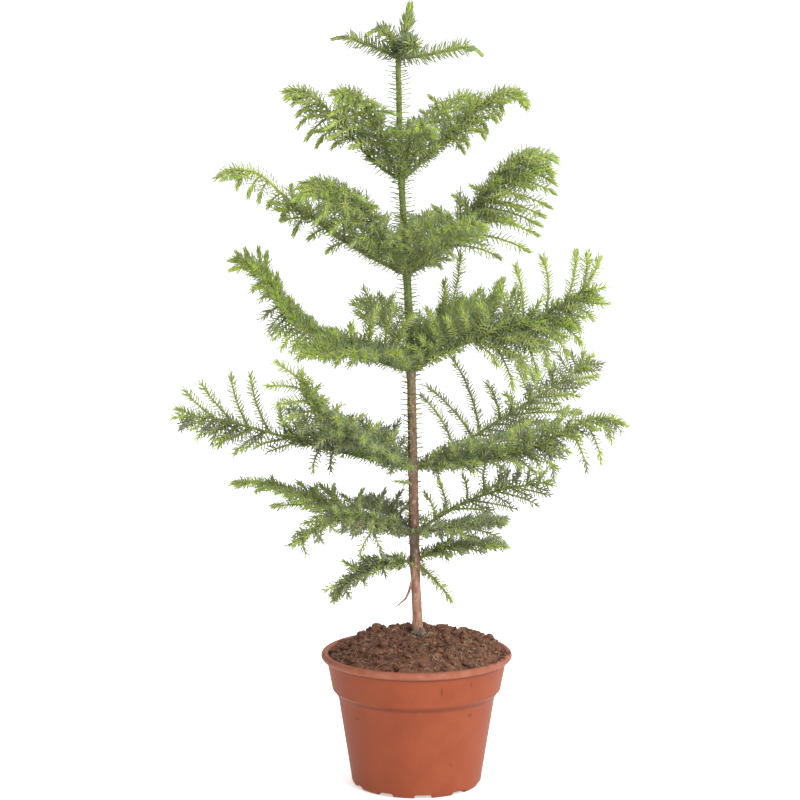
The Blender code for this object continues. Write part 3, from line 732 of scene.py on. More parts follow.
# Length, width and the young tip's reach are in millimetres, leans in degrees from the twig, and densities
# are needles to the millimetre
needleTraits = (
    "length", "width", "lean", "tipLean", "tipSpeed", "curl", "density", "tone",
    "tipLength", "tipDensity", "tipTone", "tipReach",
)
needleLooks = {
    "leader": (11.0, 1.22, 50, 26, 3, 0.22, 3.20, 0.40, 0.72, 4.6, 0.10, 15),
    "tier7": (11.4, 1.16, 80, 17, 7, 0.26, 2.50, 0.36, 0.44, 7.5, 0.24, 14),
    "tier7_front_left": (11.4, 1.14, 80, 20, 6, 0.26, 2.40, 0.40, 0.50, 6.0, 0.24, 24),
    "tier6": (9.6, 0.94, 76, 27, 4, 0.24, 1.02, 0.52, 0.60, 2.5, 0.14, 12),
    "tier5": (9.4, 0.95, 75, 27, 4, 0.24, 1.20, 0.51, 0.60, 2.5, 0.12, 11),
    "tier4": (8.8, 1.00, 73, 40, 3, 0.22, 1.66, 0.54, 0.80, 2.0, 0.10, 9),
    "tier4_left": (8.8, 0.98, 70, 26, 4, 0.26, 1.58, 0.68, 0.60, 3.2, 0.14, 12),
    "tier4_back_left": (8.4, 0.92, 72, 40, 3, 0.22, 1.20, 0.50, 0.80, 1.4, 0.06, 9),
    "tier3": (8.0, 1.02, 74, 42, 3, 0.22, 1.70, 0.46, 0.82, 1.5, 0.02, 9),
    "tier3_right": (7.6, 1.02, 72, 34, 3, 0.24, 1.62, 0.48, 0.72, 2.2, 0.06, 10),
    "tier2": (6.8, 1.04, 72, 38, 3, 0.22, 1.56, 0.42, 0.78, 1.7, 0.02, 9),
    "tier2_left": (7.0, 1.00, 68, 34, 3, 0.26, 1.70, 0.50, 0.76, 2.2, 0.02, 10),
    "tier2_back_right": (6.8, 1.00, 74, 40, 3, 0.22, 1.44, 0.46, 0.78, 1.6, 0.02, 9),
    "tier1": (7.6, 1.04, 72, 38, 3, 0.22, 1.80, 0.42, 0.80, 1.6, 0.04, 9),
}
needleLooks = {name: dict(zip(needleTraits, row)) for name, row in needleLooks.items()}
openTips = {"tipLean": 44, "tipSpeed": 3, "tipLength": 0.80, "tipDensity": 1.3, "tipTone": 0.02}
fillDensity, fillTone = 0.84, -0.02  # against the frond's own
duskyShares = {  # how much of a frond is in the dusky tone
    "tier4_left": 0.08, "tier3": 0.20, "tier3_back_right": 0.62, "tier3_back_left": 0.85, "tier2": 0.40,
    "tier2_left": 0.22, "tier2_back_right": 0.50, "tier2_back_left": 0.80, "tier2_front_right": 0.60,
    "tier1": 0.35,
}
hangingDusk = 0.45  # how much more of it on twigs that hang

limbShape = {
    "sides": 8,
    "step": 0.0022,
    "depth": 0.0015,  # how far it starts inside the trunk's bark
    "footGain": 1.15,  # against the solid bough's radius
    "taperPlaces": (0, 0.06, 0.3, 1),
    "taper": (1.15, 1, 0.76),  # of the radius near its foot, at all places but the tip
    "tipRadius": 0.00085,
    "ridge": 0.10,
    "leastLean": 80,
    "gain": 1.5,  # how much closer its needles stand than on its shoots, where limbGains has none
    "firstNeedle": 0.01,
    "toneGain": 0.42,  # lighter towards its tip
    "duskyShare": 0.5,  # against its shoots
}
limbGains = {  # how much closer needles stand on a limb than on its shoots
    "tier3_left": 1.0, "tier3_front_left": 2.2, "tier3_right": 2.2, "tier4_left": 1.5,
    "tier4_right": 1.1, "tier3_back_right": 1.4, "tier2_left": 2.2, "tier2_back_right": 1.1,
    "tier2_front_right": 1.1, "tier1_right": 1.1, "tier7_left": 1.0, "tier7_right": 1.0,
    "tier6_left": 1.2, "tier6_right": 1.2, "tier5_left": 1.2, "tier5_right": 1.3,
}
twigShape = {
    "sides": 4,
    "foot": 0.00100,
    "tip": 0.00052,
    "firstNeedle": 0.04,
    "toneGain": 0.34,  # lighter towards its tip
    "limbToneGain": 0.26,  # and on twigs nearer the limb's tip
    "hang": 0.0030,  # a twig whose tip is so much below its foot hangs
    "dusky": 0.7,  # fronds with more than this in the dusky tone have dusky twigs
}
leaderShape = {
    "inTrunk": 0.0020,
    "footShare": 0.95,  # of the trunk's radius
    "tip": 0.0008,
    "tone": 0.72,
    "toneGain": 0.2,
}
spurShape = {"foot": 0.0008, "middle": 0.0006, "tip": 0.0004, "steps": 6, "tone": 0.36}
seeds = {"fronds": 107, "leader": 99, "spurs": 970, "trunk": 98}

# Needles on the trunk itself: heights from and to, needles to the millimetre, length, place among the tones
trunkNeedleBands = (
    (0.197, 0.215, 0.20, 0.0040, 0.10),
    (0.215, 0.290, 0.90, 0.0052, 0.16),
    (0.290, 0.372, 1.10, 0.0092, 0.18),
    (0.372, 0.425, 3.20, 0.0115, 0.42),
    (0.425, 0.461, 1.25, 0.0104, 0.30),
    (0.461, 0.512, 3.20, 0.0115, 0.40),
    (0.512, 0.545, 1.20, 0.0110, 0.30),
    (0.545, 0.590, 2.80, 0.0115, 0.40),
    (0.590, 0.661, 1.20, 0.0112, 0.34),
)

needleShape = {
    "thick": 1.45,  # of half its width
    "middle": 0.64,  # where it bends, and its width there
    "middleWidth": 0.84,
    "turn": math.radians(142),  # about the twig from each needle to the next
    "turnSpread": 0.16,
    "lengthSpread": 0.12,
    "leanSpread": 9,
    "lift": 0.07,  # how far the tips turn up
    "widthSpread": 0.15,
    "leanLimits": (4, 88),
    "tipFold": 0.40,  # how much less the last ones lean
    "footLength": 0.80,  # of those at the twig's foot, and the share of the twig that they take
    "footShare": 0.12,
    "seat": 0.75,  # where they stand, of the twig's radius
    "spray": 0.014,  # length of twig that takes one tone
    "toneSpread": 0.12,
    "tipMost": 0.6,  # of the twig, taken by its young tip
    "tipOverlap": 0.4,  # of the young tip, where the other needles go on between its own
    "tipFewest": 3,
    "young": 0.45,  # how far into the young tip its own tone begins
    "tipSlimming": 0.15,
    "curlSpread": 0.4,
    "curlFade": 0.5,  # at the twig's tip
    "curlInward": 0.6,
    "piece": 20000,  # most needles in one piece
}
trunkNeedleShape = {
    "width": 0.00122,
    "turnSpread": 0.3,
    "placeSpread": 0.3,
    "leans": (86, 100),
    "bends": (0.18, 0.42),
    "inward": 0.05,
    "lengths": (0.8, 1.15),
    "seat": 0.96,  # where they stand, of the trunk's radius
    "spray": 12,  # needles that take one tone
}


class NeedleStore:  # needles sorted by tone, with the fronds that each tone holds
    def __init__(self):
        self.rows = {name: [] for name in toneNames}
        self.counts = {name: {} for name in toneNames}

    def add(self, tone, owner, rows):
        self.rows[tone].append(rows)
        self.counts[tone][owner] = self.counts[tone].get(owner, 0) + len(rows)


def toneAt(value, chance):  # a tone by its place between the heart and the tips
    spread = needleShape["toneSpread"]
    value = np.clip(value + chance.uniform(-spread, spread), 0, 0.999)
    order = ("dark", "shade", "mid", "light", "bright", "tip")
    return order[int(value * len(order))]


def needlesAlong(store, owner, points, radii, look, chance, start=0.0, value=0.5, gain=0.3, dusky=0.0):
    shape = needleShape
    total = lengthOf(points)
    ways, across, up = framesAlong(points)
    shares = np.linspace(0, 1, len(points))
    tipShare = min(shape["tipMost"], look["tipReach"] / 1000 / total)
    end = total * (1 - tipShare * (1 - shape["tipOverlap"]))
    body = np.arange(start * total, end, 0.001 / look["density"]) / total
    young = max(shape["tipFewest"], int(tipShare * total * 1000 * look["tipDensity"]))
    crowd = 1 - tipShare * (1 - np.linspace(0, 1, young))
    spots = np.concatenate((body, crowd))
    count = len(spots)
    draw = np.random.default_rng(chance.randrange(1 << 30))
    turn = np.arange(count) * shape["turn"] + draw.normal(0, shape["turnSpread"], count)
    turn = turn + draw.uniform(0, 6.28)

    def along(table):
        return np.stack([np.interp(spots, shares, table[:, axis]) for axis in range(3)], axis=1)

    way, side, rise = along(ways), along(across), along(up)
    radial = side * np.cos(turn)[:, None] + rise * np.sin(turn)[:, None]
    nearTip = np.clip((spots - (1 - tipShare)) / tipShare, 0, 1)
    lean = look["lean"] + (look["tipLean"] - look["lean"]) * np.minimum(1, nearTip * look["tipSpeed"])
    lean = lean * (1 - shape["tipFold"] * nearTip ** 3) + draw.normal(0, shape["leanSpread"] / 2, count)
    lean = np.radians(np.clip(lean, *shape["leanLimits"]))[:, None]
    needleWay = way * np.cos(lean) + radial * np.sin(lean)
    long = look["length"] / 1000 * (1 + draw.uniform(-1, 1, count) * shape["lengthSpread"])
    long *= shape["footLength"] + (1 - shape["footLength"]) * np.minimum(1, spots / shape["footShare"])
    long *= 1 - (1 - look["tipLength"]) * np.minimum(1, nearTip * look["tipSpeed"])
    spread = shape["curlSpread"]
    curl = look["curl"] * (1 - shape["curlFade"] * nearTip) * draw.uniform(1 - spread, 1 + spread, count)
    bend = (way - radial * shape["curlInward"]) * curl[:, None]
    bend[:, 2] += shape["lift"]
    radius = np.interp(spots, shares, radii)[:, None]
    roots = along(points) + radial * radius * shape["seat"]
    wide = look["width"] / 1000 * (1 + draw.uniform(-1, 1, count) * shape["widthSpread"])
    wide = wide * (1 - shape["tipSlimming"] * nearTip)
    rows = np.column_stack((roots, needleWay, bend, long, wide))
    blocks = max(1, round(total / shape["spray"]))
    edges = np.linspace(0, 1, blocks + 1)
    for k in range(blocks):
        inside = (spots >= edges[k]) & (spots <= edges[k + 1] if k == blocks - 1 else spots < edges[k + 1])
        place = (k + 0.5) / blocks
        tone = toneAt(value + gain * (place - 0.5), chance)
        if chance.random() < dusky * (1 - max(0, 0.9 - dusky) * place):
            tone = "dusky"
        store.add(tone, owner, rows[inside & (nearTip < shape["young"])])
        tipTone = tone if tone == "dusky" else toneAt(value + gain * 0.5 + look["tipTone"], chance)
        store.add(tipTone, owner, rows[inside & (nearTip >= shape["young"])])


def needleMesh(name, rows):  # three-sided curved needles: a foot, one ring above it and a point
    shape = needleShape
    root, way, bend, long, wide = rows[:, 0:3], rows[:, 3:6], rows[:, 6:9], rows[:, 9:10], rows[:, 10:11]
    helper = np.where(np.abs(way[:, 2:3]) < 0.9, np.array([[0.0, 0, 1]]), np.array([[0.0, 1, 0]]))
    side = np.cross(way, helper)
    side /= np.linalg.norm(side, axis=1)[:, None]
    up = np.cross(side, way)
    vertices = []
    for place, scale in ((0, 1), (shape["middle"], shape["middleWidth"])):
        middle = root + long * (way * place + bend * place ** 2)
        half = wide * scale / 2
        vertices += [middle + side * half, middle + up * half * shape["thick"], middle - side * half]
    vertices.append(root + long * (way + bend))
    vertices = np.stack(vertices, axis=1)
    corners, sizes = [], []
    for a in range(3):
        b = (a + 1) % 3
        corners += [a, b, 3 + b, 3 + a, 3 + a, 3 + b, 6]
        sizes += [4, 3]
    count, each = len(rows), vertices.shape[1]
    mesh = bpy.data.meshes.new(name)
    mesh.vertices.add(count * each)
    mesh.vertices.foreach_set("co", vertices.reshape(-1).astype(np.float32))
    loops = (np.array(corners)[None] + each * np.arange(count)[:, None]).reshape(-1).astype(np.int32)
    mesh.loops.add(len(loops))
    mesh.loops.foreach_set("vertex_index", loops)
    allSizes = np.tile(np.array(sizes), count)
    starts = np.concatenate(([0], np.cumsum(allSizes)[:-1])).astype(np.int32)
    mesh.polygons.add(len(allSizes))
    mesh.polygons.foreach_set("loop_start", starts)
    along = np.tile(np.array((0, 0, 0, *[shape["middle"]] * 3, 1), np.float32), count)
    mesh.attributes.new("along", "FLOAT", "POINT").data.foreach_set("value", along)
    mesh.update(calc_edges=True)
    mesh.shade_smooth()
    return mesh


needleTints = {  # what each tone is multiplied by
    "deep": (0.72, 0.80, 0.85),
    "pale": (1.40, 1.29, 1.25),
    "foot": (1.60, 1.42, 0.95),
    "point": (0.38, 0.42, 0.78),
}


def greenFinish(tone):
    base = tones[tone]
    tints = {name: tuple(c * f for c, f in zip(base, tint)) for name, tint in needleTints.items()}

    def build(wire):
        patch = wire.grain(0.018, 2).ease(0.30, 0.70)
        fleck = wire.grain(0.0022, 2).ease(0.30, 0.70)
        colour = patch.blend(tints["deep"], base)
        colour = (fleck * 0.75).blend(colour, tints["pale"])
        along = wire.node("Attribute", {"attribute_name": "along"}, output=2)
        colour = ((1 - along.ease(0.05, 0.60)) * 0.80).blend(colour, tints["foot"])
        pointed = 0.95 - 0.06 * toneNames.index(tone)  # younger tones have paler points
        colour = (along.ease(0.30, 0.95) * pointed).blend(colour, tints["point"])
        bump = wire.node("Bump", {}, {"Strength": 0.25, "Distance": 0.0004, "Height": wire.grain(0.0009, 2)})
        return {"Base Color": colour, "Roughness": 0.42 + patch * 0.18, "Normal": bump}

    return newMaterial(f"needles_{tone}", build, IOR=1.45, Specular_IOR_Level=0.38)


limbColours = {
    "wood": ((0.105, 0.092, 0.036), (0.165, 0.148, 0.062)),  # near the trunk, on the lower limbs
    "green": ((0.105, 0.140, 0.030), (0.170, 0.215, 0.045)),
    "young": ((0.240, 0.290, 0.050), (0.330, 0.385, 0.075)),  # away from the trunk
}
twigColours = {
    "green_twigs": ((0.170, 0.215, 0.050), (0.250, 0.305, 0.066)),
    "dusky_twigs": ((0.110, 0.125, 0.056), (0.155, 0.165, 0.085)),
}


def limbFinish(wire):
    x, y, z = wire.axes()
    woody = (1 - (x * x + y * y).ease(0.010 ** 2, 0.055 ** 2)) * (1 - z.ease(0.24, 0.36))
    mottle = wire.grain(0.0035, 4).ease(0.35, 0.65)
    wood = mottle.blend(*limbColours["wood"])
    green = mottle.blend(*limbColours["green"])
    young = (x * x + y * y).ease(0.060 ** 2, 0.120 ** 2)
    green = young.blend(green, mottle.blend(*limbColours["young"]))
    bump = wire.node("Bump", {}, {"Strength": 0.5, "Distance": 0.0006, "Height": wire.grain(0.0014, 3)})
    return {"Base Color": woody.blend(green, wood), "Roughness": 0.55 + mottle * 0.2, "Normal": bump}


def twigFinish(deep, pale):
    def build(wire):
        mottle = wire.grain(0.0040, 3).ease(0.35, 0.65)
        bump = wire.node("Bump", {}, {"Strength": 0.4, "Distance": 0.0004, "Height": wire.grain(0.0010, 2)})
        return {"Base Color": mottle.blend(deep, pale), "Roughness": 0.5 + mottle * 0.15, "Normal": bump}

    return build


def limbRelief(points, sides):  # needle bases that run down the limb in a spiral
    rings = np.arange(len(points))[:, None]
    turns = np.arange(sides)[None] * math.tau / sides
    return 1 + limbShape["ridge"] * np.sin(3 * turns + rings * 2.1) * np.sin(2 * turns - rings * 1.3)


class Crown:  # what the crown's pieces are joined from
    def __init__(self):
        self.limbs, self.greenTwigs, self.duskyTwigs = [], [], []
        self.store = NeedleStore()


def dressLimb(crown, frond, look, dusky, chance):
    shape = limbShape
    limbLook = {**look, "lean": max(shape["leastLean"], look["lean"])}
    limbLook["density"] *= limbGains.get(frond["name"], shape["gain"])
    start = (trunkRadius(frond["line"][0][2]) - shape["depth"]) / frond["reach"]
    count = int(frond["reach"] / shape["step"])
    line = stretch(frond["line"], start, 1, count)
    foot = frond["radius"] * shape["footGain"]
    widths = (*(foot * share for share in shape["taper"]), shape["tipRadius"])
    radii = np.interp(np.linspace(0, 1, count), shape["taperPlaces"], widths)
    crown.limbs.append((line, radii, limbRelief(line, shape["sides"])))
    needlesAlong(
        crown.store, frond["name"], line, radii, limbLook, chance,
        start=shape["firstNeedle"], value=look["tone"], gain=shape["toneGain"],
        dusky=dusky * shape["duskyShare"],
    )


def dressTwigs(crown, frond, look, dusky, chance):
    shape = twigShape
    twigs = crown.duskyTwigs if dusky > shape["dusky"] else crown.greenTwigs
    fillLook = {**look, **openTips}
    fillLook["tone"] += fillTone
    fillLook["density"] *= fillDensity
    for some, someLook in ((frond["shoots"], look), (frond["fill"], fillLook)):
        for share, points in some:
            radii = np.linspace(shape["foot"], shape["tip"], len(points))
            twigs.append((points, radii, None))
            hangs = dusky > 0 and points[-1][2] < points[0][2] - shape["hang"]
            needlesAlong(
                crown.store, frond["name"], points, radii, fillLook if hangs else someLook, chance,
                start=shape["firstNeedle"], value=someLook["tone"] + shape["limbToneGain"] * (share - 0.5),
                gain=shape["toneGain"], dusky=dusky + hangingDusk * hangs,
            )


def dressLeader(crown):
    shape = leaderShape
    foot = trunkMiddle(trunkShape["tip"]) - np.array((0, 0, shape["inTrunk"]))
    azimuth, sweep, reach, rises = growth["leader"]
    line, _ = limbLine(foot, azimuth, sweep, reach + shape["inTrunk"], rises)
    radii = np.linspace(trunkShape["tipRadius"] * shape["footShare"], shape["tip"], len(line))
    crown.limbs.append((line, radii, limbRelief(line, limbShape["sides"])))
    needlesAlong(
        crown.store, "leader", line, radii, needleLooks["leader"], random.Random(seeds["leader"]),
        value=shape["tone"], gain=shape["toneGain"],
    )


def dressSpurs(crown):
    shape = spurShape
    for i, (points, length, dusky) in enumerate(growth["spurs"]):
        line = stretch(np.array(points), 0, 1, shape["steps"])
        crown.greenTwigs.append((line, np.linspace(shape["foot"], shape["tip"], shape["steps"]), None))
        needlesAlong(
            crown.store, "trunk", line, np.full(shape["steps"], shape["middle"]),
            {**needleLooks["tier1"], "length": length}, random.Random(seeds["spurs"] + i),
            value=shape["tone"], dusky=dusky,
        )


def trunkNeedles(store, points, radii, density, length, value, chance):
    shape = trunkNeedleShape
    total = lengthOf(points)
    spots = np.arange(0, total, 0.001 / density) / total
    count = len(spots)
    draw = np.random.default_rng(chance.randrange(1 << 30))
    spread = shape["placeSpread"]
    spots = np.clip(spots + draw.uniform(-spread, spread, count) * 0.001 / density / total, 0, 1)
    shares = np.linspace(0, 1, len(points))
    spread = shape["turnSpread"]
    turn = np.arange(count) * needleShape["turn"] + draw.uniform(-spread, spread, count)
    radial = np.column_stack((np.cos(turn), np.sin(turn), np.zeros(count)))
    lean = np.radians(draw.uniform(*shape["leans"], count))[:, None]
    way = radial * np.sin(lean) + np.array((0, 0, 1)) * np.cos(lean)
    bend = np.array((0, 0, 1)) * draw.uniform(*shape["bends"], count)[:, None] - radial * shape["inward"]
    middle = np.stack([np.interp(spots, shares, points[:, axis]) for axis in range(3)], axis=1)
    radius = np.interp(spots, shares, radii)[:, None]
    long = length * draw.uniform(*shape["lengths"], count)
    spread = needleShape["widthSpread"]
    wide = shape["width"] * draw.uniform(1 - spread, 1 + spread, count)
    rows = np.column_stack((middle + radial * radius * shape["seat"], way, bend, long, wide))
    for k in range(0, count, shape["spray"]):
        store.add(toneAt(value, chance), "trunk", rows[k:k + shape["spray"]])


def dressTrunkNeedles(crown):
    chance = random.Random(seeds["trunk"])
    for low, high, density, length, value in trunkNeedleBands:
        points = trunkLine(low, high, 40)
        radii = np.array([trunkRadius(point[2]) for point in points])
        trunkNeedles(crown.store, points, radii, density, length, value, chance)


def makeWood(crown, fronds):
    boughs = [f"{frond['name']}_bough" for frond in fronds]
    boughs = [bough for bough in boughs if bough in frame["nodes"]]
    limbMesh = joinedTubes("limbs", crown.limbs, limbShape["sides"])
    newPiece("limbs", limbMesh, newMaterial("limb_bark", limbFinish), boughs)
    for name, twigs in (("green_twigs", crown.greenTwigs), ("dusky_twigs", crown.duskyTwigs)):
        twigMesh = joinedTubes(name, twigs, twigShape["sides"])
        newPiece(name, twigMesh, newMaterial(name, twigFinish(*twigColours[name])))


def makeNeedles(crown, owners):
    counts = crown.store.counts
    named = {tone: [] for tone in toneNames}  # each mass of the solids goes with the tone it has most of
    for owner in owners:
        best = max(toneNames, key=lambda tone: counts[tone].get(owner, 0))
        named[best].append(f"{owner}_needles")
    for tone in toneNames:
        rows = np.vstack(crown.store.rows[tone])
        print("needles", tone, len(rows))
        finish = greenFinish(tone)
        for k, some in enumerate(np.array_split(rows, math.ceil(len(rows) / needleShape["piece"]))):
            name = f"needles_{tone}_{k + 1}"
            newPiece(name, needleMesh(name, some), finish, named[tone])


def dressCrown():
    fronds = growFronds()
    crown = Crown()
    for i, frond in enumerate(fronds):
        chance = random.Random(seeds["fronds"] + i)
        look = needleLooks.get(frond["name"], needleLooks[frond["tier"]])
        dusky = duskyShares.get(frond["name"], duskyShares.get(frond["tier"], 0))
        dressLimb(crown, frond, look, dusky, chance)
        dressTwigs(crown, frond, look, dusky, chance)
    dressLeader(crown)
    dressSpurs(crown)
    dressTrunkNeedles(crown)
    print("crown:", len(crown.limbs), "limbs,", len(crown.greenTwigs) + len(crown.duskyTwigs), "twigs")
    makeWood(crown, fronds)
    makeNeedles(crown, [*(frond["name"] for frond in fronds), "leader"])


# The trunk

barkColours = {
    "heights": (0.135, 0.661),  # where the zones start and end
    "zones": (
        (0.0, (0.36, 0.180, 0.110)), (0.10, (0.28, 0.130, 0.078)), (0.16, (0.185, 0.082, 0.050)),
        (0.28, (0.180, 0.094, 0.056)), (0.36, (0.165, 0.112, 0.056)), (0.44, (0.150, 0.114, 0.050)),
        (0.47, (0.100, 0.124, 0.036)), (0.60, (0.125, 0.160, 0.036)), (0.95, (0.170, 0.215, 0.040)),
    ),
    "leftShade": (0.085, 0.092, 0.034),  # painted shade on the left side of the brown part, away from the key light
    "whorlShade": (0.070, 0.074, 0.044),  # painted shade between the two lowest whorls, under the foliage above
    "streaks": ((0.075, 0.042, 0.030), (0.060, 0.085, 0.022)),  # on the brown part and on the green one
    "spots": ((0.38, 0.27, 0.18), (0.20, 0.25, 0.060)),
}


def barkFinish(wire):
    x, _, z = wire.axes()
    height = z + (wire.grain(0.016, 2) - 0.5) * 0.016
    low, high = barkColours["heights"]
    share = (height - low) * (1 / (high - low))
    zones = wire.node("ValToRGB", {"stops": barkColours["zones"]}, {"Fac": share})
    streak = wire.grain(0.0022, 4, 0.6, (1, 1, 0.22)).ease(0.38, 0.66)
    spot = wire.grain(0.0034, 3, 0.6, (1, 1, 0.7)).ease(0.56, 0.64)
    green = height.ease(0.366, 0.384)
    # painted shade down the trunk's left side, away from the key light
    leftShade = (1 - (x + wire.grain(0.010, 3) * 0.006).ease(-0.0080, -0.0010)) * z.ease(0.185, 0.215)
    colour = (leftShade * (1 - green) * 0.8).blend(zones, barkColours["leftShade"])
    # painted shade on the trunk between the two lowest whorls, stronger on its left side
    whorlShade = z.ease(0.193, 0.203) * (1 - z.ease(0.228, 0.238)) * (1 - x.ease(-0.0020, 0.0030) * 0.6)
    colour = (whorlShade * 0.62).blend(colour, barkColours["whorlShade"])
    colour = (streak * 0.55).blend(colour, green.blend(*barkColours["streaks"]))
    colour = (spot * 0.6).blend(colour, green.blend(*barkColours["spots"]))
    rough = wire.grain(0.0016, 4, 0.6, (1, 1, 0.4))
    bump = wire.node("Bump", {}, {"Strength": 0.6, "Distance": 0.0007, "Height": rough})
    return {"Base Color": colour, "Roughness": 0.62 + streak * 0.2, "Normal": bump}


def roughness(turn, height, often, high, deep):
    place = Vector((math.cos(turn) * often, math.sin(turn) * often, height / high))
    return deep * noise.noise(place)


def dressTrunk():
    shape = trunkShape
    low, high = shape["foot"] - shape["buried"], shape["tip"] - shape["topGap"]
    count = int((high - low) / shape["ringStep"])
    points = trunkLine(low, high, count)
    sides = shape["sides"]
    turns = np.arange(sides) * math.tau / sides
    relief = np.ones((count, sides))
    up, down, deep = shape["scars"]  # two spirals that cross
    for i, height in enumerate(points[:, 2]):
        for a, turn in enumerate(turns):
            scar = math.sin(3 * turn + height / up) * math.sin(2 * turn - height / down)
            ridge = roughness(turn, height, *shape["ridges"])
            relief[i, a] += ridge + roughness(turn, height, *shape["grit"]) + deep * max(0, scar)
    radii = np.array([trunkRadius(h) + np.interp(h, *shape["scarWidth"]) for h in points[:, 2]])
    vertices, faces = tubeParts(points, radii, sides, 0, relief)
    mesh = meshOf("trunk_with_bark", vertices, faces)
    bark = newMaterial("trunk_bark", barkFinish)
    newPiece("trunk_with_bark", mesh, bark, ["trunk"])
    strip = [(np.array(shape["strip"]), shape["stripRadii"], None)]
    newPiece("peeling_strip", joinedTubes("peeling_strip", strip, shape["stripSides"]), bark)


# The pot

potShape = {
    "height": 0.1200,
    "rimRadius": 0.0850,
    "lipHeight": 0.0066,
    "bandTopRadius": 0.0800,
    "bandFootRadius": 0.0752,
    "bandFootHeight": 0.0864,
    "stepRadius": 0.0698,
    "stepHeight": 0.0800,
    "baseRadius": 0.0576,
    "cornerWidth": 0.0042,
    "cornerHeight": 0.0062,
    "smallCorner": 0.0012,  # at the foot of the band
    "wall": 0.0015,
    "floor": 0.0052,
    "bays": 10,
    "bayWidth": 0.0150,
    "bayHeight": 0.0034,
    "bayTurn": 6,
    "bayInner": 0.0380,
    "drainRadius": 0.0026,
    "drainInset": 0.0060,  # from the bays' inner end
    "drainSides": 20,
    "sharp": 38,  # degrees between faces from which an edge stays sharp
    "segments": 300,
}


def arcPoints(centre, halfWidth, halfHeight, start, end, count):  # from and to an angle in degrees
    angles = [math.radians(start + (end - start) * i / (count - 1)) for i in range(count)]
    return [(centre[0] + halfWidth * math.cos(a), centre[1] + halfHeight * math.sin(a)) for a in angles]


def between(first, second, t):
    return first[0] + (second[0] - first[0]) * t, first[1] + (second[1] - first[1]) * t


def potInside():
    shape = potShape
    inner, corner = shape["baseRadius"] - shape["wall"], 0.0009
    return [
        (inner - corner, shape["floor"]),
        (inner + 0.0005, shape["floor"] + corner),
        (shape["stepRadius"] - shape["wall"], shape["stepHeight"] + shape["wall"] / 2),
        (shape["bandFootRadius"] - shape["wall"], shape["bandFootHeight"] + shape["wall"] / 2),
        (shape["bandTopRadius"] - shape["wall"], shape["height"] - shape["lipHeight"] / 2),
    ]


def potProfile():
    shape = potShape
    lipInner = shape["bandTopRadius"] - shape["wall"]
    lipMiddle = ((lipInner + shape["rimRadius"]) / 2, shape["height"] - shape["lipHeight"] / 2)
    lip = arcPoints(lipMiddle, (shape["rimRadius"] - lipInner) / 2, shape["lipHeight"] / 2, 165, -75, 22)
    bandTop = (shape["bandTopRadius"] + 0.0002, shape["height"] - shape["lipHeight"] - 0.0004)
    small, step = shape["smallCorner"], (shape["stepRadius"], shape["stepHeight"])
    bandFoot = (shape["bandFootRadius"] - small, shape["bandFootHeight"] + small)
    footCorner = arcPoints(bandFoot, small, small, 0, -80, 5)
    stepIn = [(step[0] + 0.0012, step[1] + 0.0016), (step[0] + 0.0002, step[1])]
    wallFoot = (shape["baseRadius"] + 0.0006, shape["cornerHeight"])
    wall = [between(step, wallFoot, t) for t in np.linspace(0.02, 1, 14)]
    width, height = shape["cornerWidth"], shape["cornerHeight"]
    corner = arcPoints((wallFoot[0] - width, height), width, height, -8, -90, 9)
    under = [(r, 0) for r in np.linspace(shape["baseRadius"] - 0.0055, shape["bayInner"] + 0.0012, 6)]
    inside = potInside()
    innerWall = []
    for a, b in zip(inside[1:], inside[2:]):
        innerWall += [between(a, b, t) for t in (0, 0.34, 0.67)]
    foot = (shape["bandFootRadius"], shape["bandFootHeight"] + 0.0014)
    band = [between((shape["bandTopRadius"], bandTop[1]), foot, t) for t in (0.06, 0.2, 0.4, 0.6, 0.8, 0.96)]
    return [
        (0.02, shape["floor"]), inside[0], *innerWall, inside[-1], *lip, bandTop, *band,
        *footCorner, *stepIn, *wall, *corner, *under, (shape["bayInner"] - 0.0002, 0), (0.02, 0),
    ]


def dressPot():
    shape = potShape
    profile = potProfile()
    segments = shape["segments"]
    turns = np.arange(segments) * math.tau / segments
    lipEnd = max(range(len(profile)), key=lambda i: profile[i][0])
    bayPitch = math.tau / shape["bays"]
    vertices = []
    for i, (radius, height) in enumerate(profile):
        for turn in turns:
            z = height
            if i > lipEnd and radius > shape["bayInner"] and height < shape["bayHeight"]:
                off = (turn - math.radians(shape["bayTurn"])) % bayPitch - bayPitch / 2
                if abs(off) * radius < shape["bayWidth"] / 2:
                    z = shape["bayHeight"]
            vertices.append((radius * math.cos(turn), radius * math.sin(turn), z))
    count = len(profile)
    faces = []
    for i in range(count - 1):
        for a in range(segments):
            b = (a + 1) % segments
            faces.append((i * segments + a, (i + 1) * segments + a, (i + 1) * segments + b, i * segments + b))
    faces.append(list(range(segments)))
    faces.append([(count - 1) * segments + a for a in reversed(range(segments))])
    mesh = meshOf("pot_shell", vertices, faces)
    mesh.set_sharp_from_angle(angle=math.radians(shape["sharp"]))
    plastic = newMaterial("terracotta_plastic", potFinish, Specular_IOR_Level=0.12)
    cutDrains(newPiece("pot_shell", mesh, plastic, ["pot"]))


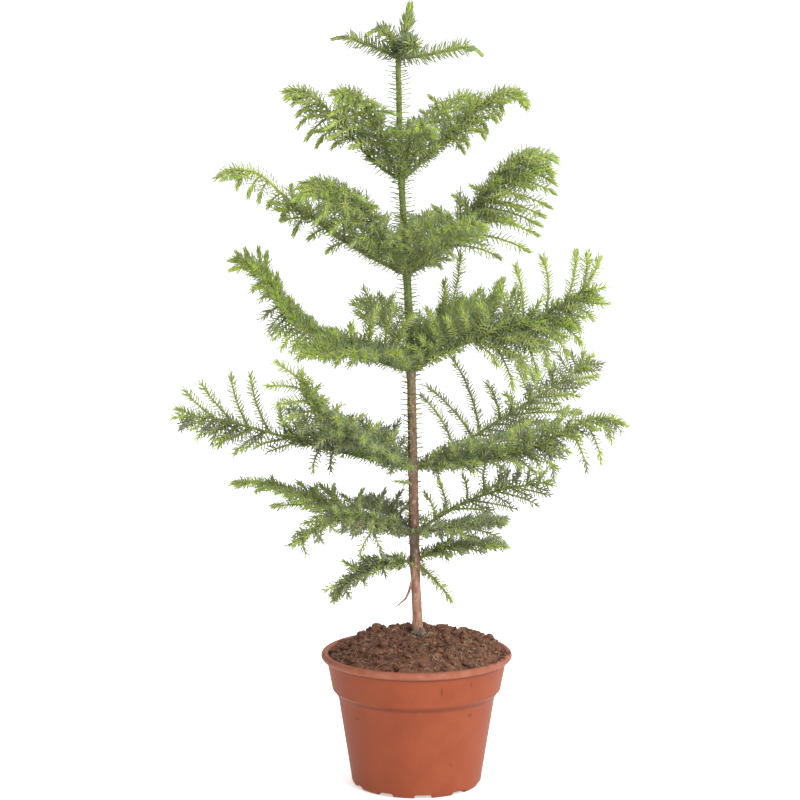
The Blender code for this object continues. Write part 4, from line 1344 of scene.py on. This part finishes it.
def cutDrains(pot):
    shape = potShape
    reach, radius = shape["bayInner"] + shape["drainInset"], shape["drainRadius"]
    drains = bpy.data.collections.new("drains")
    for i in range(shape["bays"]):
        turn = math.tau / shape["bays"] * (i + 0.5) + math.radians(shape["bayTurn"])
        made = bmesh.new()
        bmesh.ops.create_cone(
            made, cap_ends=True, segments=shape["drainSides"],
            radius1=radius, radius2=radius, depth=4 * shape["floor"],
        )
        drain = bpy.data.meshes.new(f"drain_{i}")
        made.to_mesh(drain)
        made.free()
        cutter = bpy.data.objects.new(f"drain_{i}", drain)
        cutter.location = (reach * math.cos(turn), reach * math.sin(turn), 0)
        drains.objects.link(cutter)
    cut = pot.modifiers.new("drains", "BOOLEAN")
    cut.operation, cut.operand_type, cut.collection, cut.solver = "DIFFERENCE", "COLLECTION", drains, "EXACT"
    applied(pot)
    for cutter in list(drains.objects):
        bpy.data.objects.remove(cutter)
    bpy.data.collections.remove(drains)


def applied(piece):  # works the piece's modifiers into its mesh
    bpy.context.view_layer.update()
    graph = bpy.context.evaluated_depsgraph_get()
    mesh = bpy.data.meshes.new_from_object(piece.evaluated_get(graph))
    piece.modifiers.clear()
    piece.data = mesh


potColours = {
    "plastic": ((0.218, 0.050, 0.021), (0.246, 0.059, 0.026)),
    "scuffs": (0.34, 0.12, 0.07),
    # painted highlight along the top of the lip
    "lipHighlight": (0.330, 0.150, 0.105),
    "crumbs": (0.130, 0.050, 0.026),
    # painted shade for the grooves under the band and the lip
    "grooveShade": (0.105, 0.026, 0.013),
    "marks": (0.110, 0.028, 0.014),
}
# Painted shade in the grooves under the band and under the lip: heights from and to, and how dark
potGrooveShade = ((0.0796, 0.0862, 0.52), (0.1106, 0.1134, 0.50))
# Dried drips and smudges on the front of the pot: place across, height, and half their width and height
potMarks = (
    (0.0215, 0.1010, 0.0012, 0.0052), (0.0470, 0.1045, 0.0010, 0.0026), (0.0465, 0.0740, 0.0022, 0.0020),
    (-0.0520, 0.0690, 0.0024, 0.0010), (0.0300, 0.0300, 0.0008, 0.0016),
)


def potFinish(wire):
    x, y, z = wire.axes()
    cloud = wire.grain(0.030, 3).ease(0.30, 0.70)
    scuff = wire.grain(0.0060, 5, 0.7, (1, 1, 0.35)).ease(0.60, 0.72)
    lipRise = z.ease(0.111, 0.114)
    colour = cloud.blend(*potColours["plastic"])
    colour = (scuff * 0.22).blend(colour, potColours["scuffs"])
    # painted highlight on the lip, in patches
    lipHighlight = wire.grain(0.0080, 3, 0.6).ease(0.30, 0.70)
    colour = (lipRise * (0.22 + 0.34 * lipHighlight)).blend(colour, potColours["lipHighlight"])
    crumbs = wire.grain(0.0022, 4, 0.7).ease(0.62, 0.68) * lipRise
    colour = (crumbs * 0.6).blend(colour, potColours["crumbs"])
    uneven = (wire.grain(0.0120, 3) - 0.5) * 0.0016
    # painted shade in the grooves under the band and under the lip
    for low, high, dark in potGrooveShade:
        place = (z + uneven - low) * (1 / (high - low))
        groove = place.ease(0.0, 0.45) * (1 - place.ease(0.55, 1.0))
        colour = (groove * dark).blend(colour, potColours["grooveShade"])
    for markX, markZ, wide, high in potMarks:
        level = (x - markX) * (1 / wide) + (wire.grain(0.004, 3) - 0.5) * 0.9
        upright = (z - markZ) * (1 / high) + (wire.grain(0.005, 3) - 0.5) * 0.7
        mark = (1 - (level * level + upright * upright).ease(0.25, 1.0)) * (1 - y.ease(-0.03, 0.0))
        colour = (mark * 0.65).blend(colour, potColours["marks"])
    lines = wire.grain(0.0006, 2, 0.5, (0.05, 0.05, 1))
    bump = wire.node("Bump", {}, {"Strength": 0.12, "Distance": 0.0003, "Height": lines})
    return {"Base Color": colour, "Roughness": 0.50 + cloud * 0.08 + scuff * 0.15, "Normal": bump}


# The potting mix

soilShape = {
    "edgeHeight": 0.1160,
    "seatHeight": 0.1372,
    "seatRadius": 0.0085,
    "rightHeap": 0.0050,
    "bumps": ((0.0026, 0.012, (0, 0, 0)), (0.0016, 0.0052, (3, 1, 0)), (0.0010, 0.0022, (0, 5, 2))),
    "rings": 70,
    "segments": 150,
    "clods": 640,
    "spilled": 22,  # on the lip, at the right
    "large": (  # place and size of the large clods
        (-0.0363, 0.0250, 0.0062), (-0.0300, 0.0280, 0.0045), (-0.0110, 0.0160, 0.0042),
        (-0.0350, -0.0450, 0.0052), (0.0240, 0.0240, 0.0040), (0.0300, -0.0380, 0.0040),
        (-0.0560, -0.0200, 0.0040), (0.0560, -0.0120, 0.0052), (-0.0080, -0.0560, 0.0040),
        (0.0500, 0.0300, 0.0045), (-0.0200, -0.0240, 0.0036), (0.0640, 0.0100, 0.0050),
        (-0.0480, 0.0120, 0.0046), (0.0100, -0.0300, 0.0042), (0.0420, -0.0100, 0.0042),
        (-0.0640, -0.0080, 0.0040),
    ),
    "lumps": (  # grey, by the foot
        (0.0036, -0.0118, 0.0040), (-0.0030, -0.0100, 0.0030), (0.0075, -0.0080, 0.0026),
    ),
    "lowest": 0.0600,  # where the mound ends in the pot, above the pot's inner corner
    "sizes": (0.0013, 0.0016, 0.0020, 0.0026, 0.0034),
    "sizeSpread": (0.8, 1.25),
    "spilledSizes": (0.0009, 0.0021),
    "spilledTurns": (-42, -2),
    "squash": ((0.6, 1.3), (0.7, 1.2), (0.45, 0.95)),  # least and most of a clod along each axis
    "seats": {"clods": 0.25, "spilled": 0.2, "large": 0.40, "lumps": 0.45},  # how high, of their size
    "fineFrom": 0.0022,  # clods larger than this have more faces
    "fibres": 430,
    "fibreLengths": (0.003, 0.009),
    "fibreSteps": 6,
    "fibreWidths": (0.00014, 0.00018, 0.00024),
    "fibreSides": 3,
    "fibreBend": 0.35,
    "fibreLift": (0.0006, 0.0016),  # at its ends, and how much more in its middle
    "seed": 31,
}
soilColours = {
    "mix": ((0.056, 0.020, 0.010), (0.150, 0.062, 0.032)),
    "crumbs": (0.225, 0.098, 0.053),
    "pale": (0.38, 0.22, 0.13),
    "collar": (0.050, 0.018, 0.009),  # darker, round the trunk's foot
    "fibres": ((0.24, 0.135, 0.078), (0.54, 0.37, 0.24)),
    "lumps": ((0.070, 0.055, 0.038), (0.205, 0.165, 0.125)),
}


def moundHeight(x, y, edge):
    shape = soilShape
    radius = math.hypot(x, y)
    share = min(1, max(0, (radius - shape["seatRadius"]) / (edge - shape["seatRadius"])))
    height = shape["edgeHeight"] + (shape["seatHeight"] - shape["edgeHeight"]) * (1 - share ** 2)
    fade = min(1, max(0, (edge - radius) / 0.004))
    heap = shape["rightHeap"] * max(0, x / edge) ** 2
    lump = 0
    for tall, wide, offset in shape["bumps"]:
        lump += tall * noise.noise(Vector((x, y, 0)) / wide + Vector(offset))
    return height + (lump + heap) * fade


def soilFinish(wire):
    crumb = wire.grain(0.0020, 5, 0.7).ease(0.35, 0.68)
    patch = wire.grain(0.0085, 3).ease(0.36, 0.66)
    pale = wire.grain(0.0028, 3, 0.6).ease(0.60, 0.68)
    x, y, _ = wire.axes()
    collar = 1 - (x * x + y * y).ease(0.006 ** 2, 0.017 ** 2)
    colour = patch.blend(*soilColours["mix"])
    colour = (crumb * 0.65).blend(colour, soilColours["crumbs"])
    colour = (pale * 0.6).blend(colour, soilColours["pale"])
    colour = (collar * 0.45).blend(colour, soilColours["collar"])
    bump = wire.node("Bump", {}, {"Strength": 0.9, "Distance": 0.0012, "Height": wire.grain(0.0011, 5, 0.7)})
    return {"Base Color": colour, "Roughness": 0.88 + crumb * 0.1, "Normal": bump}


def fibreFinish(wire):
    tone = wire.grain(0.006, 2).ease(0.3, 0.7)
    bump = wire.node("Bump", {}, {"Strength": 0.4, "Distance": 0.0003, "Height": wire.grain(0.0006, 2)})
    return {"Base Color": tone.blend(*soilColours["fibres"]), "Roughness": 0.8 + tone * 0.1, "Normal": bump}


def lumpFinish(wire):
    tone = wire.grain(0.0020, 4, 0.65).ease(0.35, 0.65)
    bump = wire.node("Bump", {}, {"Strength": 0.7, "Distance": 0.0008, "Height": wire.grain(0.0008, 4, 0.7)})
    return {"Base Color": tone.blend(*soilColours["lumps"]), "Roughness": 0.85 + tone * 0.1, "Normal": bump}


def clodMesh(name, places, chance):  # each place is (x, y, z, size)
    made = bmesh.new()
    for x, y, z, size in places:
        start = len(made.verts)
        fine = size > soilShape["fineFrom"]
        bmesh.ops.create_icosphere(made, subdivisions=2 if fine else 1, radius=1)
        made.verts.ensure_lookup_table()
        squash = Vector([chance.uniform(*limits) for limits in soilShape["squash"]])
        offset = Vector((chance.uniform(-50, 50), chance.uniform(-50, 50), 0))
        for vertex in made.verts[start:]:
            push = 1 + 0.60 * noise.noise(vertex.co * 1.1 + offset)
            push = push + 0.40 * noise.noise(vertex.co * 2.6 + offset)
            vertex.co = Vector((x, y, z)) + Vector(c * s for c, s in zip(vertex.co, squash)) * size * push
    mesh = bpy.data.meshes.new(name)
    made.to_mesh(mesh)
    made.free()
    return mesh


def insideAt(height):  # the pot's inner radius
    inside = potInside()
    return float(np.interp(height, [h for _, h in inside], [r for r, _ in inside]))


def moundMesh(edge):
    rings, segments = soilShape["rings"], soilShape["segments"]
    turns = [math.tau * a / segments for a in range(segments)]
    vertices = [(0, 0, moundHeight(0, 0, edge))]
    for i in range(1, rings + 1):
        radius = edge * i / rings
        for turn in turns:
            x, y = radius * math.cos(turn), radius * math.sin(turn)
            vertices.append((x, y, moundHeight(x, y, edge)))
    base = len(vertices)
    low = potInside()[1][1] + soilShape["lowest"]
    lowRadius = insideAt(low) - 0.0004
    vertices += [(lowRadius * math.cos(turn), lowRadius * math.sin(turn), low) for turn in turns]
    faces = [(0, 1 + a, 1 + (a + 1) % segments) for a in range(segments)]
    for i in range(rings - 1):
        first, second = 1 + i * segments, 1 + (i + 1) * segments
        for a in range(segments):
            b = (a + 1) % segments
            faces.append((first + a, second + a, second + b, first + b))
    last = 1 + (rings - 1) * segments
    for a in range(segments):
        b = (a + 1) % segments
        faces.append((last + a, base + a, base + b, last + b))
    faces.append([base + a for a in reversed(range(segments))])
    return meshOf("mix_mound", vertices, faces)


def handPlaced(kind, edge):
    seat = soilShape["seats"][kind]
    return [(x, y, moundHeight(x, y, edge) + size * seat, size) for x, y, size in soilShape[kind]]


def clodPlaces(edge, chance):
    shape = soilShape
    places = []
    for _ in range(shape["clods"]):
        radius = edge * math.sqrt(chance.uniform(0.006, 0.97))
        turn = chance.uniform(0, math.tau)
        size = chance.choice(shape["sizes"]) * chance.uniform(*shape["sizeSpread"])
        x, y = radius * math.cos(turn), radius * math.sin(turn)
        places.append((x, y, moundHeight(x, y, edge) + size * shape["seats"]["clods"], size))
    for _ in range(shape["spilled"]):
        radius = chance.uniform(edge, potShape["rimRadius"] - 0.0010)
        turn = math.radians(chance.uniform(*shape["spilledTurns"]))
        size = chance.uniform(*shape["spilledSizes"])
        height = potShape["height"] + size * shape["seats"]["spilled"]
        places.append((radius * math.cos(turn), radius * math.sin(turn), height, size))
    return places + handPlaced("large", edge)


def fibreLines(edge, chance):
    shape = soilShape
    steps = shape["fibreSteps"]
    low, high = shape["fibreLift"]
    for _ in range(shape["fibres"]):
        radius = edge * math.sqrt(chance.uniform(0.01, 0.94))
        turn = chance.uniform(0, math.tau)
        x, y = radius * math.cos(turn), radius * math.sin(turn)
        heading = chance.uniform(0, math.tau)
        long = chance.uniform(*shape["fibreLengths"])
        points = []
        for step in range(steps + 1):
            heading += chance.uniform(-shape["fibreBend"], shape["fibreBend"])
            x += math.cos(heading) * long / steps
            y += math.sin(heading) * long / steps
            if math.hypot(x, y) > edge - 0.0006:
                break
            lift = low + high * math.sin(math.pi * step / steps) * chance.uniform(0.5, 1.3)
            points.append((x, y, moundHeight(x, y, edge) + lift))
        if len(points) > 3:
            yield np.array(points), [chance.choice(shape["fibreWidths"])] * len(points), None


def dressSoil():
    shape = soilShape
    edge = insideAt(shape["edgeHeight"]) - 0.0002
    mix = newMaterial("potting_mix", soilFinish)
    newPiece("mix_mound", moundMesh(edge), mix, ["potting_mix"])
    chance = random.Random(shape["seed"])
    newPiece("mix_clods", clodMesh("mix_clods", clodPlaces(edge, chance), chance), mix)
    lumps = clodMesh("grey_lumps", handPlaced("lumps", edge), chance)
    newPiece("grey_lumps", lumps, newMaterial("grey_lump", lumpFinish))
    fibres = joinedTubes("mix_fibres", list(fibreLines(edge, chance)), shape["fibreSides"])
    newPiece("mix_fibres", fibres, newMaterial("coir_fibre", fibreFinish))


# Floor, light and camera

stage = {
    "floorRadius": 70,
    "floorHeight": -0.0002,
    "floorGlow": 0.50,
    "worldStrength": 1.30,
    "worldColours": ((0.30, 0.30, 0.30), (1, 1, 1)),  # on the left and on the right
    "lights": (  # name, place, size in metres and power in watts
        ("key", (1.4, -2.1, 1.8), 1.1, 68),
        ("fill", (-1.9, -1.6, 1.2), 1.6, 1),
        ("top", (0.2, 0.7, 2.4), 1.4, 18),
    ),
    "lightTarget": (0, 0, 0.35),
    "camera": (-0.014763, -2.60, 0.749006),
    "pitch": 81.193,
    "lens": (134.537, 36),  # focal length and sensor width in millimetres
    "clipEnd": 200,
}


def floorFinish(wire):
    colour = wire.grain(0.9, 2).blend((0.90, 0.90, 0.90), (0.92, 0.92, 0.92))
    return {"Base Color": colour, "Roughness": 0.9}


def layFloor():
    mesh = bpy.data.meshes.new("floor")
    made = bmesh.new()
    bmesh.ops.create_circle(made, cap_ends=True, segments=96, radius=stage["floorRadius"])
    made.to_mesh(mesh)
    made.free()
    floor = bpy.data.objects.new("floor", mesh)
    scene.collection.objects.link(floor)
    glow = {"Emission_Color": (1, 1, 1, 1), "Emission_Strength": stage["floorGlow"]}
    mesh.materials.append(newMaterial("pale_floor", floorFinish, **glow))
    floor.location.z = stage["floorHeight"]


def setLights():
    world = bpy.data.worlds.new("studio")
    world.use_nodes = True
    wire = Wire(world.node_tree)
    across = wire.node("SeparateXYZ", {}, {0: wire.node("TexCoord")}, 0)
    background = world.node_tree.nodes["Background"]
    wire.feed(background.inputs["Color"], across.ease(-0.9, 0.5).blend(*stage["worldColours"]))
    background.inputs["Strength"].default_value = stage["worldStrength"]
    scene.world = world
    for name, place, size, power in stage["lights"]:
        data = bpy.data.lights.new(name, "AREA")
        data.size, data.energy = size, power
        light = bpy.data.objects.new(name, data)
        light.location = place
        ahead = Vector(stage["lightTarget"]) - Vector(place)
        light.rotation_euler = ahead.to_track_quat("-Z", "Y").to_euler()
        scene.collection.objects.link(light)


def setCamera():
    camera = bpy.data.objects.new("camera", bpy.data.cameras.new("camera"))
    camera.data.lens, camera.data.sensor_width = stage["lens"]
    camera.location = stage["camera"]
    camera.rotation_euler = (math.radians(stage["pitch"]), 0, 0)
    camera.data.clip_end = stage["clipEnd"]
    scene.collection.objects.link(camera)
    scene.camera = camera
    scene.view_settings.view_transform = "Standard"


dressPot()
print("pot made")
dressSoil()
print("potting mix made")
dressTrunk()
print("trunk made")
dressCrown()
print("crown made")
layFloor()
setLights()
setCamera()
print("floor, lights and camera set")
